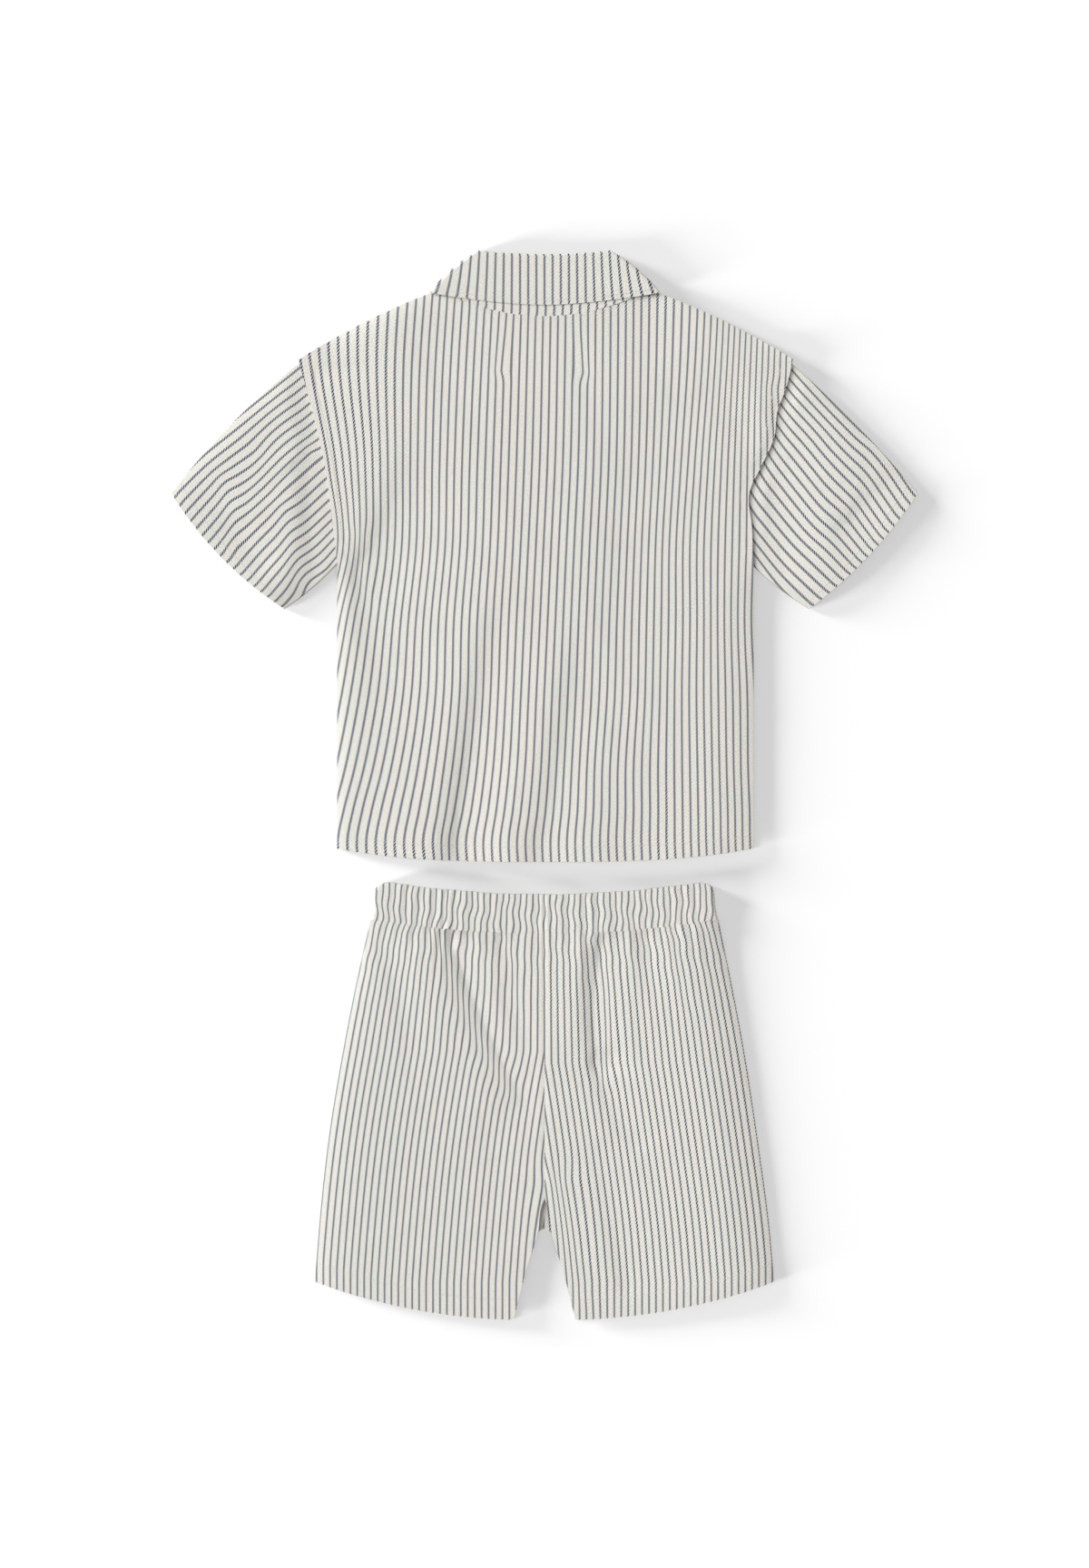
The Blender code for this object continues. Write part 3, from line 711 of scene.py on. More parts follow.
def finish_piece(piece: bpy.types.Object, material: bpy.types.Material) -> None:
    """Gives a piece its material, and lets it ride on the one body."""
    piece.data.materials.append(material)
    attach(piece, "root")
    log.info("%s: %d faces", piece.name, len(piece.data.polygons))


def lay_cloth(
    panel: Panel,
    node: str,
    finishes: Finishes,
    lines: list[Array],
) -> None:
    """Builds a cloth piece with its stitching, and hides the solid that it stands for.

    Args:
        panel: The piece of cloth.
        node: The solid that it stands for.
        finishes: The materials.
        lines: Where stitches run on it, which may be nowhere.
    """
    sewn = [Thread().sew(f"{node}_stitching", lines)] if lines else []
    for stitching in sewn:
        finish_piece(stitching, finishes.thread)
    piece = panel.build()
    finish_piece(piece, finishes.cotton)
    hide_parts(node)


# Stripes


@dataclass(frozen=True)
class FlowRow:
    """Where a piece's key stripes lie across it, at one place down it."""

    down: float
    across: tuple[float, ...]


@dataclass(frozen=True)
class StripeFlow:
    """The run of the stripes over a piece, from a few of them at a few places."""

    keys: tuple[int, ...]
    rows: tuple[FlowRow, ...]

    def number(self, across: Array, down: Array) -> Array:
        """The stripe number at each place: how many of the stripes' lines it lies past."""
        downs = np.array([row.down for row in self.rows])
        table = np.array([row.across for row in self.rows])
        every = np.arange(self.keys[0], self.keys[-1] + 1.0)
        lines = hermite(np.array(self.keys, float), hermite(downs, table, down).T, every).T
        gap = np.diff(lines, axis=1)
        inside = np.clip((across[:, None] - lines[:, :-1]) / gap, 0.0, 1.0).sum(axis=1)
        before = np.minimum((across - lines[:, 0]) / gap[:, 0], 0.0)
        after = np.maximum((across - lines[:, -1]) / gap[:, -1], 0.0)
        return self.keys[0] + inside + before + after


BACK_FLOW = StripeFlow(
    #         stripe 0      4       8      16     28    40     48     56
    (0, 4, 8, 16, 28, 40, 48, 56),
    (
        FlowRow(-61.0, (-214.0, -185.0, -155.2, -95.6, -14.6, 64.0, 116.5, 163.2)),
        FlowRow(-46.0, (-214.6, -186.0, -156.2, -96.5, -15.1, 63.4, 115.9, 162.7)),
        FlowRow(-21.6, (-209.5, -181.0, -151.9, -92.2, -12.2, 64.1, 115.6, 162.4)),
        FlowRow(8.6, (-201.6, -173.5, -144.0, -87.1, -9.4, 64.1, 115.2, 161.3)),
        FlowRow(69.1, (-187.2, -161.0, -132.5, -79.9, -6.5, 67.7, 114.5, 160.6)),
        FlowRow(129.6, (-173.0, -151.0, -126.0, -77.8, -3.6, 69.1, 115.2, 158.4)),
        FlowRow(190.1, (-159.6, -142.0, -118.8, -72.7, -0.7, 71.3, 115.2, 159.8)),
        FlowRow(250.6, (-165.0, -142.0, -118.1, -71.3, 2.2, 74.2, 118.8, 160.6)),
        FlowRow(341.3, (-178.6, -148.0, -118.1, -67.7, 4.3, 76.3, 125.3, 163.4)),
        FlowRow(391.0, (-180.0, -147.0, -115.0, -64.5, 5.2, 76.8, 127.6, 166.0)),
    ),
)
SHIRT_PULLS = (
    #     x0     y0      x1     y1     bow  width shift0 shift1
    Pull(-30.0, 362.0, -34.0, 328.0, 0.0, 6.0, 0.05, 0.38, Way.BEND),
    Pull(26.0, 360.0, 30.0, 326.0, 0.0, 6.0, -0.05, -0.42, Way.BEND),
    Pull(182.0, 312.0, 178.0, 290.0, 0.0, 8.0, 0.35, 0.2, Way.BEND),
    Pull(-146.0, 196.0, -143.0, 150.0, -2.0, 8.0, 0.5, 0.3),
    Pull(-75.0, -10.0, -80.0, -60.0, 0.0, 12.0, 0.1, 0.4),
)
SLEEVE_FLOW_LEFT = StripeFlow(
    #   stripe 1   6     11     16     21
    (1, 6, 11, 16, 21),
    (
        FlowRow(0.10, (0.018, 0.248, 0.480, 0.746, 0.977)),
        FlowRow(0.25, (0.011, 0.235, 0.483, 0.747, 0.983)),
        FlowRow(0.50, (-0.015, 0.236, 0.481, 0.748, 0.978)),
        FlowRow(0.75, (-0.055, 0.208, 0.480, 0.758, 1.018)),
        FlowRow(0.96, (-0.090, 0.205, 0.493, 0.779, 1.040)),
    ),
)
SLEEVE_FLOW_RIGHT = StripeFlow(
    #   stripe 0   5      9     13     17
    (0, 5, 9, 13, 17),
    (
        FlowRow(0.00, (-0.030, 0.196, 0.385, 0.592, 0.842)),
        FlowRow(0.10, (-0.018, 0.216, 0.412, 0.622, 0.870)),
        FlowRow(0.25, (-0.004, 0.231, 0.438, 0.647, 0.895)),
        FlowRow(0.50, (0.000, 0.254, 0.470, 0.685, 0.931)),
        FlowRow(0.75, (-0.012, 0.273, 0.484, 0.706, 0.956)),
        FlowRow(0.96, (0.018, 0.306, 0.512, 0.727, 0.976)),
    ),
)


# Shirt body


SHIRT_FOLDS = (
    #     x0     y0      x1     y1     bow   width rise0  rise1
    Fold(-34.0, 130.0, -62.0, -58.0, -4.0, 15.0, -1.3, -2.9),
    Fold(-58.0, 125.0, -93.0, -56.0, -4.0, 18.0, 1.1, 3.2),
    Fold(32.0, 111.0, -3.0, -60.0, 3.0, 13.0, -1.2, -2.0),
    Fold(8.0, 90.0, -26.0, -58.0, -2.0, 12.0, 0.5, 1.3),
    Fold(78.0, 130.0, 42.0, -58.0, 3.0, 22.0, 0.1, 0.5),
    Fold(-108.0, 240.0, -137.0, 168.0, -2.0, 13.0, -1.0, -3.0),
    Fold(-137.0, 168.0, -126.0, 66.0, -3.0, 14.0, -3.0, -0.9),
    Fold(156.0, 140.0, 160.0, -52.0, 0.0, 15.0, -1.0, -1.3),
    Fold(-186.0, 327.0, -128.0, 331.0, 0.0, 7.0, -1.6, -0.2),
    Fold(112.0, 324.0, 160.0, 268.0, 4.0, 9.0, -0.4, -1.6),
    Fold(176.0, 300.0, 168.0, 262.0, 3.0, 8.0, 1.4, 1.6),
    Fold(20.0, 352.0, 38.0, 284.0, 3.0, 7.0, -1.2, -0.3),
    Fold(-17.0, 364.0, -17.0, 336.0, 0.0, 7.0, -0.9, -0.2),
)
SHIRT_CREASES = (
    #     x0     y0      x1     y1     bow   width rise0  rise1
    Fold(-58.0, 40.0, -72.0, -50.0, -1.0, 4.0, -0.2, -0.9),
    Fold(-14.0, 30.0, -24.0, -52.0, 1.0, 4.5, -0.1, -0.7),
    Fold(-147.0, 184.0, -146.0, 120.0, -2.0, 4.0, -0.5, -0.7),
    Fold(-159.0, 174.0, -154.0, 110.0, -1.0, 4.0, 0.7, 0.1),
    Fold(-18.0, 358.0, -12.0, 326.0, 2.0, 4.0, -0.6, -0.1),
    Fold(21.0, 350.0, 26.0, 328.0, -2.0, 4.0, -0.7, -0.2),
    Fold(118.0, 318.0, 150.0, 280.0, 3.0, 6.0, 0.5, 0.6),
    Fold(95.0, 60.0, 84.0, -50.0, 2.0, 12.0, -0.1, -0.4),
    Fold(128.0, 20.0, 132.0, -52.0, 0.0, 14.0, 0.1, 0.4),
    Fold(-136.0, 20.0, -150.0, -50.0, -2.0, 10.0, -0.2, -0.9),
    Fold(52.0, 300.0, 48.0, 150.0, 4.0, 20.0, 0.3, 0.4),
    Fold(-70.0, 300.0, -64.0, 140.0, -4.0, 24.0, 0.3, 0.3),
)
FRONT_CREASES = (
    #     x0     y0      x1     y1     bow   width rise0  rise1
    Fold(-110.0, 120.0, -120.0, -30.0, 3.0, 14.0, 0.1, 0.5),
    Fold(-60.0, 90.0, -52.0, -40.0, -3.0, 12.0, 0.1, 0.4),
    Fold(116.0, 140.0, 104.0, -20.0, 3.0, 14.0, 0.1, 0.5),
    Fold(64.0, 60.0, 70.0, -50.0, 2.0, 11.0, 0.1, 0.4),
    Fold(-150.0, 150.0, -120.0, 190.0, 2.0, 9.0, 0.5, 0.1),
    Fold(150.0, 150.0, 124.0, 196.0, -2.0, 9.0, 0.5, 0.1),
)

TIP_LEFT, TIP_RIGHT = (-195.0, 336.2), (197.0, 336.2)
SHOULDER_BOW_LEFT, SHOULDER_BOW_RIGHT = 3.6, 3.8
NECK_HALF, NECK_SIDE_Y = 84.0, 391.2
BACK_NECK_Y, FRONT_NECK_Y = 370.4, 322.0
SIDE_LEFT, SIDE_RIGHT = -164.2, 165.6
UNDERARM_Y = 175.5
HEM_SIDE_Y, HEM_MIDDLE_Y = -51.0, -61.6
ARM_END = 11 / 28  # the share of the back's rows that lie along the armholes
SHIRT_WIDE, SHIRT_LONG = 380.0, 396.0  # millimetres for a whole u and a whole v
ARMHOLE_LEFT = (
    TIP_LEFT, (-183.7, 294.2), (-174.4, 253.6), (-168.1, 206.7), (SIDE_LEFT, UNDERARM_Y),
)
ARMHOLE_RIGHT = (
    TIP_RIGHT, (190.5, 311.0), (184.2, 294.0), (182.0, 274.0), (171.8, 252.0),
    (162.4, 233.0), (164.2, 204.0), (SIDE_RIGHT, UNDERARM_Y),
)
HEAD_LEFT = ((-192.6, 336.4), (-180.2, 293.0), (-171.0, 252.6), (-164.8, 206.0), (-160.6, 178.5))
HEAD_RIGHT = (
    (194.0, 335.6), (183.0, 298.0), (172.5, 266.0), (160.5, 236.0), (157.0, 208.0), (158.6, 180.0),
)


@dataclass(frozen=True)
class ShirtBody:
    """The back and the two fronts, with the levels of what lies under them."""

    opening_lap: float = 12.0
    front_lift: float = 1.9
    front_run: float = 26.0
    back_run: float = 78.0
    wing_half: float = 104.0
    wing_low_y: float = 286.0
    neck_end_x: float = -4.0
    neck_bow: float = -22.0
    neck_loft: float = 0.6
    body_loft: float = 2.4
    low_half: float = 78.0
    low_y: float = 356.0
    low_reach: float = 50.0
    rim_drop: float = 0.75
    sleeve_step: float = 1.45
    arm_flatter: float = 0.6
    arm_reach: float = 9.0
    front_inset: float = 0.3
    hem_depth: float = 13.0
    armhole_turn: float = 6.5
    folds: tuple[Fold, ...] = SHIRT_FOLDS + SHIRT_CREASES

    def shoulder_y(self, x: Array) -> Array:
        """The shoulder seams: from each tip in to the side of the neck, a little bowed upwards."""
        left = x < 0
        reach = np.where(left, -TIP_LEFT[0], TIP_RIGHT[0]) - NECK_HALF
        bow = np.where(left, SHOULDER_BOW_LEFT, SHOULDER_BOW_RIGHT)
        t = (np.abs(x) - NECK_HALF) / reach
        return blend(NECK_SIDE_Y, TIP_LEFT[1], t) + 4.0 * bow * t * (1.0 - t)

    def back_neck_y(self, x: Array) -> Array:
        """The back neckline, lowest in the middle and rising with the square of x."""
        return BACK_NECK_Y + (NECK_SIDE_Y - BACK_NECK_Y) * (x / NECK_HALF) ** 2

    def front_neck(self, t: Array) -> Array:
        """The front neckline, from the left side of the neck down to the opening."""
        return bowed((-NECK_HALF, NECK_SIDE_Y), (self.neck_end_x, FRONT_NECK_Y), self.neck_bow, t)

    def hem_y(self, x: Array) -> Array:
        """The hem, flat in the middle and turning up towards the side seams."""
        return HEM_MIDDLE_Y + (HEM_SIDE_Y - HEM_MIDDLE_Y) * np.abs(x / SIDE_RIGHT) ** 3

    def on_collar(self, x: Array, y: Array, run: float) -> Array:
        """1 where a front lies on the collar's wing, and 0 clear of it."""
        beside = smooth((self.wing_half + run - np.abs(x)) / run)
        return beside * smooth((y - self.wing_low_y + run) / run)

    def outer_front_z(self, x: Array, y: Array, run: float) -> Array:
        """Underside of the left front: on the floor, but up on the buttons and on the collar."""
        on_buttons = smooth((x + self.opening_lap + run) / run)
        return self.front_lift * (1.0 - (1.0 - on_buttons) * (1.0 - self.on_collar(x, y, run)))

    def inner_front_z(self, x: Array, y: Array, run: float) -> Array:
        """Underside of the right front: over the left one at the opening, then down to the floor."""
        over = smooth((2 * self.opening_lap + run - x) / run)
        return blend(self.front_lift * self.on_collar(x, y, run), self.front_lift + LAYER, over)

    def bed_z(self, x: Array, y: Array) -> Array:
        """The underside of the back over both fronts, in a wider and softer rise."""
        outer = self.outer_front_z(x, y, self.back_run)
        inner = self.inner_front_z(np.abs(x), y, self.back_run)
        return LAYER + np.maximum(outer, inner)

    def back_surface(self, u: Array, v: Array) -> Array:
        """Underside of the back: a ruled plan between the armholes or sides, lifted by its folds.

        The plan runs from the shoulders and the neckline to the hem. The height is the bed plus
        a loft and the folds, which fall to nothing at the seamed edges with exp(-distance / rim),
        or the sleeve's height where the armhole's edge lies on the sleeve.
        """
        tips = TIP_RIGHT[0] - TIP_LEFT[0]
        neck_from, neck_to = ((x - TIP_LEFT[0]) / tips for x in (-NECK_HALF, NECK_HALF))
        u = steps(u, (0.0, 0.0), (0.25, neck_from), (0.75, neck_to), (1.0, 1.0))
        in_arm, in_side = passed(v, 0.0, ARM_END), passed(v, ARM_END, 1.0 - ARM_END)
        left, right = along(ARMHOLE_LEFT, in_arm), along(ARMHOLE_RIGHT, in_arm)
        share = (TIP_LEFT[1] - blend(left[:, 1], HEM_SIDE_Y, in_side)) / (TIP_LEFT[1] - HEM_SIDE_Y)
        x = blend(left[:, 0], right[:, 0], u)
        top_x = blend(TIP_LEFT[0], TIP_RIGHT[0], u)
        top = np.where(np.abs(top_x) < NECK_HALF, self.back_neck_y(top_x), self.shoulder_y(top_x))
        y = blend(top, self.hem_y(blend(SIDE_LEFT, SIDE_RIGHT, u)), share)
        below_arm = smooth(in_side * 8.5)
        from_side = np.minimum(u, 1.0 - u) * (SIDE_RIGHT - SIDE_LEFT)
        side_rim = below_arm * np.exp(-from_side / RIM)
        beyond_neck = smooth((np.abs(top_x) - NECK_HALF) / 10.0 + 1.0)
        before_tip = smooth((TIP_RIGHT[0] - np.abs(top_x)) / 20.0 - 0.7)
        shoulder_rim = beyond_neck * before_tip * np.exp(-(top - y) / RIM)
        beside = smooth((np.abs(x) - self.low_half) / self.low_reach)
        clear = np.minimum(beside + smooth((self.low_y - y) / self.low_reach), 1.0)
        wave = 0.22 * ripples(x, y, 74.0, 0.4) + 0.10 * ripples(x, y, 27.0, 1.9)
        rise = blend(self.neck_loft, self.body_loft, clear) + clear * (folded(self.folds, x, y) + wave)
        flatter = self.arm_flatter * (1.0 - below_arm) * np.exp(-from_side / self.arm_reach)
        rise = rise * (1.0 - flatter)
        rise = rise * (1.0 - side_rim) * (1.0 - shoulder_rim)
        rise = rise - self.rim_drop * np.maximum(side_rim, shoulder_rim)
        head = np.where(x < 0, -x_at(HEAD_LEFT, y), x_at(HEAD_RIGHT, y))
        on_sleeve = smooth((np.abs(x) - head) / 8.0 + 1.5) * (1.0 - below_arm)
        held = blend(-self.rim_drop, self.sleeve_step, on_sleeve)
        return np.column_stack([x, y, self.bed_z(x, y) + np.maximum(rise, held)])

    def back_cloth(self, u: Array, v: Array, points: Array) -> Array:
        """Stripe number from the flow table, and the length down in pitches."""
        x, y = points[:, 0], points[:, 1]
        return np.column_stack([BACK_FLOW.number(x, y) + pulled(SHIRT_PULLS, x, y), y / PITCH])

    def back_wall(self, u: Array, v: Array) -> Array:
        """Cloth, doubled in the hem and in the seam allowance along the armholes."""
        from_side = np.minimum(u, 1.0 - u) * SHIRT_WIDE
        in_hem = smooth((v - 1.0 + self.hem_depth / SHIRT_LONG) * SHIRT_LONG / 2.5)
        in_turn = smooth((self.armhole_turn - from_side) / 1.2)
        in_turn = in_turn * smooth((ARM_END - v) * SHIRT_LONG / 4.0)
        return CLOTH + DOUBLED * np.maximum(in_hem, in_turn)

    def back(self) -> Panel:
        """The back as a panel, with closer rows at its hem and closer columns at its sides."""
        columns, rows = np.linspace(0, 1, 181), np.linspace(0, 1, 215)
        columns = steps(columns, (0.0, 0.0), (0.07, 0.022), (0.93, 0.978), (1.0, 1.0))
        rows = steps(rows, (0.0, 0.0), (0.04, 0.015), (0.93, 0.962), (1.0, 1.0))
        laws = self.back_surface, self.back_cloth, self.back_wall
        return Panel("shirt_back_cloth", *laws, columns, rows)

    def front_surface(self, mirror: int, head: Line, side: float, bow: float) -> Surface:
        """Underside of one front: shoulder, neckline and armhole above, straight at the opening.

        Args:
            mirror: 1 for the left front and -1 for the right one, which is worked out on the left
                and turned over.
            head: The sleeve's head, which the armhole follows.
            side: How far across the side seam is.
            bow: How far the shoulder stands off its straight line.

        Returns:
            The surface.
        """
        armhole = tuple((mirror * x + 0.4, y) for x, y in head)
        tip, neck_side = armhole[0], (-NECK_HALF, NECK_SIDE_Y - self.front_inset)
        side_x = mirror * side + self.front_inset
        level = self.outer_front_z if mirror > 0 else self.inner_front_z

        def top_line(column: Array) -> Array:
            """Points along the top: 5 columns on the shoulder, 7 on the neckline, 1 on the lap."""
            on_shoulder, on_neck = passed(column, 0.0, 5.0), passed(column, 5.0, 7.0)
            shoulder = bowed(tip, neck_side, bow - self.front_inset, on_shoulder)
            line = np.where((on_shoulder < 1.0)[:, None], shoulder, self.front_neck(on_neck))
            line[:, 0] += (self.opening_lap - self.neck_end_x) * passed(column, 12.0, 1.0)
            return line

        def surface(u: Array, v: Array) -> Array:
            """Points of the front: 6 of its 14 rows lie along the armhole and 8 below it."""
            top = top_line(u * 13.0)
            in_arm, in_side = passed(v * 14.0, 0.0, 6.0), passed(v * 14.0, 6.0, 8.0)
            edge = along(armhole, in_arm)
            edge[:, 0] = blend(edge[:, 0], side_x, smooth(in_side * 8.0))
            edge[:, 1] = blend(edge[:, 1], HEM_SIDE_Y, in_side)
            share = (tip[1] - edge[:, 1]) / (tip[1] - HEM_SIDE_Y)
            bottom_x = blend(side_x, self.opening_lap, u)
            y = blend(top[:, 1], self.hem_y(bottom_x), share)
            bulge = edge[:, 0] - blend(tip[0], side_x, share)
            x = mirror * (blend(top[:, 0], bottom_x, share) + bulge * (1.0 - u) ** 2)
            ridges = np.maximum(folded(FRONT_CREASES, x, y), 0.0)
            z = FLOOR_CLEAR + level(x, y, self.front_run) + ridges
            return np.column_stack([x, y, z])

        return surface

    def front_cloth(self, mirror: int) -> Cloth:
        """Straight stripes, a little off the vertical."""

        def cloth(u: Array, v: Array, points: Array) -> Array:
            """Stripe number and length down, in pitches."""
            x, y = points[:, 0], points[:, 1]
            return np.column_stack([(x - 0.02 * mirror * y) / PITCH + 0.3 * mirror, y / PITCH])

        return cloth

    def front_wall(self, u: Array, v: Array) -> Array:
        """Cloth, doubled in the hem and in the facing at the opening."""
        in_hem = smooth((v - 1.0 + self.hem_depth / SHIRT_LONG) * SHIRT_LONG / 1.2)
        facing = smooth((u - 0.84) / 0.008)
        return CLOTH + DOUBLED * np.maximum(in_hem, facing)

    def front(self, name: str, mirror: int, head: Line, side: float, bow: float) -> Panel:
        """One front as a panel, from the same values as its surface."""
        surface = self.front_surface(mirror, head, side, bow)
        columns, rows = np.linspace(0, 1, 92)[::mirror], np.linspace(0, 1, 141)
        return Panel(name, surface, self.front_cloth(mirror), self.front_wall, columns, rows)

    def dress(self, finishes: Finishes) -> None:
        """Builds the back, the fronts and their stitching."""
        t = np.linspace(0.0, 1.0, 400)
        back, hem_v = self.back(), 1.0 - (self.hem_depth - 2.0) / SHIRT_LONG
        arm = blend(0.012, ARM_END - 0.01, t)
        edge = (self.armhole_turn - 1.6) / SHIRT_WIDE * 1.25
        lines = [
            back.line(blend(0.004, 0.996, t), np.full_like(t, hem_v)),
            back.line(np.full_like(t, edge), arm),
            back.line(np.full_like(t, 1.0 - edge), arm),
            back.line(blend(0.255, 0.745, t), np.full_like(t, 0.0052)),
        ]
        lay_cloth(back, "shirt_back", finishes, lines)
        for node, *shape in (
            ("shirt_front_left", 1, HEAD_LEFT, SIDE_LEFT, SHOULDER_BOW_LEFT),
            ("shirt_front_right", -1, HEAD_RIGHT, SIDE_RIGHT, SHOULDER_BOW_RIGHT),
        ):
            panel = self.front(f"{node}_cloth", *shape)
            lines = [
                self.under_line(panel, blend(0.01, 0.99, t), np.full_like(t, hem_v)),
                self.under_line(panel, np.full_like(t, 0.85), blend(0.07, 0.96, t)),
            ]
            lay_cloth(panel, node, finishes, lines)

    def under_line(self, panel: Panel, u: Array, v: Array) -> Array:
        """Points on the underside of a front, which is its outer face."""
        points = panel.surface(u, v)
        points[:, 2] += 0.1
        return points


# Collar


@dataclass(frozen=True)
class Collar:
    """Stand and leaf in one ring round the neck, folded over at the roll."""

    body: ShirtBody
    roll_side: Point = (-52.0, 421.4)
    roll_dip: float = 2.9
    leaf_side: Point = (-88.6, 388.4)
    leaf_middle_y: float = 379.2
    leaf_bulge: float = 1.5
    wing_roll_y: float = 331.0
    point: Point = (-56.0, 296.0)
    wing_roll_bow: float = -16.0
    wing_bow: float = -13.0
    stand_high: float = 5.6
    stand_low: float = 2.5
    leaf_high: float = 6.7
    leaf_low: float = 0.7
    wall: float = 1.0
    seam_clear: float = 0.15
    seam_end: float = 0.014
    wing: int = 5
    crease: int = 5
    back: int = 14
    stand: int = 3
    roll: int = 3
    leaf: int = 3

    def seam_edge(self, t: Array) -> Array:
        """The edge in the back neckline, left to right."""
        x = blend(-NECK_HALF, NECK_HALF, self.seam_end + (1.0 - 2 * self.seam_end) * t)
        return np.column_stack([x, self.body.back_neck_y(x) + self.seam_clear])

    def leaf_edge(self, t: Array) -> Array:
        """The leaf's free edge across the back, left to right, lowest in the middle."""
        x = blend(self.leaf_side[0], -self.leaf_side[0], t)
        dip = np.abs(x / self.leaf_side[0]) ** 1.6
        return np.column_stack([x, blend(self.leaf_middle_y, self.leaf_side[1], dip)])

    def around(self) -> int:
        """Columns round the ring."""
        return 2 * (self.wing + self.crease) + self.back

    def lines(self, column: Array) -> tuple[Array, ...]:
        """Finds the collar's lines round the ring, in plan.

        Round it come the left wing under the left front, the crease at the left of the neck, the
        back, the right crease and the right wing. The right half is the left one turned over.

        Args:
            column: Places round the ring, in columns.

        Returns:
            Points on the seam, the roll and the leaf's edge, the angle by which the fold's plane
            has turned over, the way out from the neck, and how near a crease is, from 0 to 1.
        """
        around = self.around()
        from_end = np.minimum(column, around - column)
        on_wing = 1.0 - passed(from_end, 0.0, self.wing)
        across = passed(column - self.wing, self.crease, self.back)
        on_back = (from_end >= self.wing + self.crease)[:, None]
        side = np.column_stack([np.where(column > around / 2, -1.0, 1.0), np.ones_like(column)])
        neck_side = self.seam_edge(np.zeros(1))[0]
        end = (self.body.neck_end_x, FRONT_NECK_Y + self.seam_clear)
        roll_end = (self.body.neck_end_x, self.wing_roll_y)
        roll_far = (-self.roll_side[0], self.roll_side[1])
        wing_seam = side * bowed(neck_side, end, self.body.neck_bow + self.seam_clear, on_wing)
        wing_roll = side * bowed(self.roll_side, roll_end, self.wing_roll_bow, on_wing)
        wing_edge = side * bowed(self.leaf_side, self.point, self.wing_bow, on_wing)
        seam = np.where(on_back, self.seam_edge(across), wing_seam)
        fold = np.where(on_back, bowed(self.roll_side, roll_far, -self.roll_dip, across), wing_roll)
        edge = np.where(on_back, self.leaf_edge(across), wing_edge)
        near_crease = (1.0 - on_wing) * (1.0 - 4.0 * across * (1.0 - across)) ** 2
        turned = passed(from_end, self.wing, self.crease)
        outward = side * np.array([-1.0, 1.0]) / np.sqrt(2.0)
        return seam, fold, edge, np.pi * (turned - 0.5), outward, near_crease[:, None]

    def surface(self, u: Array, v: Array) -> Array:
        """The middle of the collar: down the stand, half a turn over the roll, down the leaf."""
        row = v * (self.stand + self.roll + self.leaf)
        seam, fold, edge, angle, out, near_crease = self.lines(u * self.around())
        in_stand = passed(row, 0.0, self.stand)[:, None]
        bend = np.pi * passed(row, self.stand, self.roll)
        in_leaf = passed(row - self.stand, self.roll, self.leaf)[:, None]
        over = (1.0 - np.cos(bend)) / 2
        radius = blend(self.stand_high - self.stand_low, self.leaf_high - self.leaf_low, over) / 2
        middle = blend(self.stand_high + self.stand_low, self.leaf_high + self.leaf_low, over) / 2
        up = fold - (seam + edge) / 2
        up = up / np.linalg.norm(up, axis=1)[:, None]
        plan = blend(seam, fold, in_stand) + (edge - fold) * in_leaf
        plan = plan + up * np.sin(bend)[:, None] * (self.leaf_high - self.stand_high) / 2
        plan = plan + out * near_crease * self.leaf_bulge * np.sin(np.pi * in_leaf)
        at_roll = in_stand**6 * (1.0 - in_leaf) ** 3
        plan = plan + out * (radius * np.cos(angle))[:, None] * (1.0 - 0.7 * at_roll)
        wave = 0.16 * ripples(plan[:, 0], plan[:, 1], 46.0, 2.6) * np.sin(np.pi * in_leaf[:, 0])
        return np.column_stack([plan, middle + radius * np.sin(angle) + wave])

    def cloth(self, u: Array, v: Array, points: Array) -> Array:
        """Upright stripes that lean out towards the leaf's two ends, and set off on the stand."""
        down = self.stand + self.roll + self.leaf
        x, y = points[:, 0], points[:, 1]
        on_leaf = smooth((v * down - self.stand) / self.roll)
        below_roll = np.maximum(self.roll_side[1] - y, 0.0)
        leaf_x = x - 0.20 * below_roll * (x / 78.0) ** 3
        number = blend((x + 0.06 * below_roll) / 6.75 + 0.45, leaf_x / 6.43, on_leaf)
        return np.column_stack([number, y / PITCH])

    def thickness(self, u: Array, v: Array) -> Array:
        """Two layers of cloth, a little thinner outside the stitching along the free edge."""
        return self.wall - 0.22 * smooth((v - 0.966) / 0.008)

    def dress(self, finishes: Finishes) -> None:
        """Builds the collar and the stitching along its free edge."""
        columns, rows = np.linspace(0, 1, 273), np.linspace(0, 1, 73)
        laws = self.surface, self.cloth, self.thickness
        panel = Panel("collar_cloth", *laws, columns, rows, outward=0.5)
        t = np.linspace(0.0, 1.0, 500)
        lines = [panel.line(blend(0.29, 0.71, t), np.full_like(t, 0.968))]
        lay_cloth(panel, "collar", finishes, lines)


# Flat tubes: sleeves and waistband


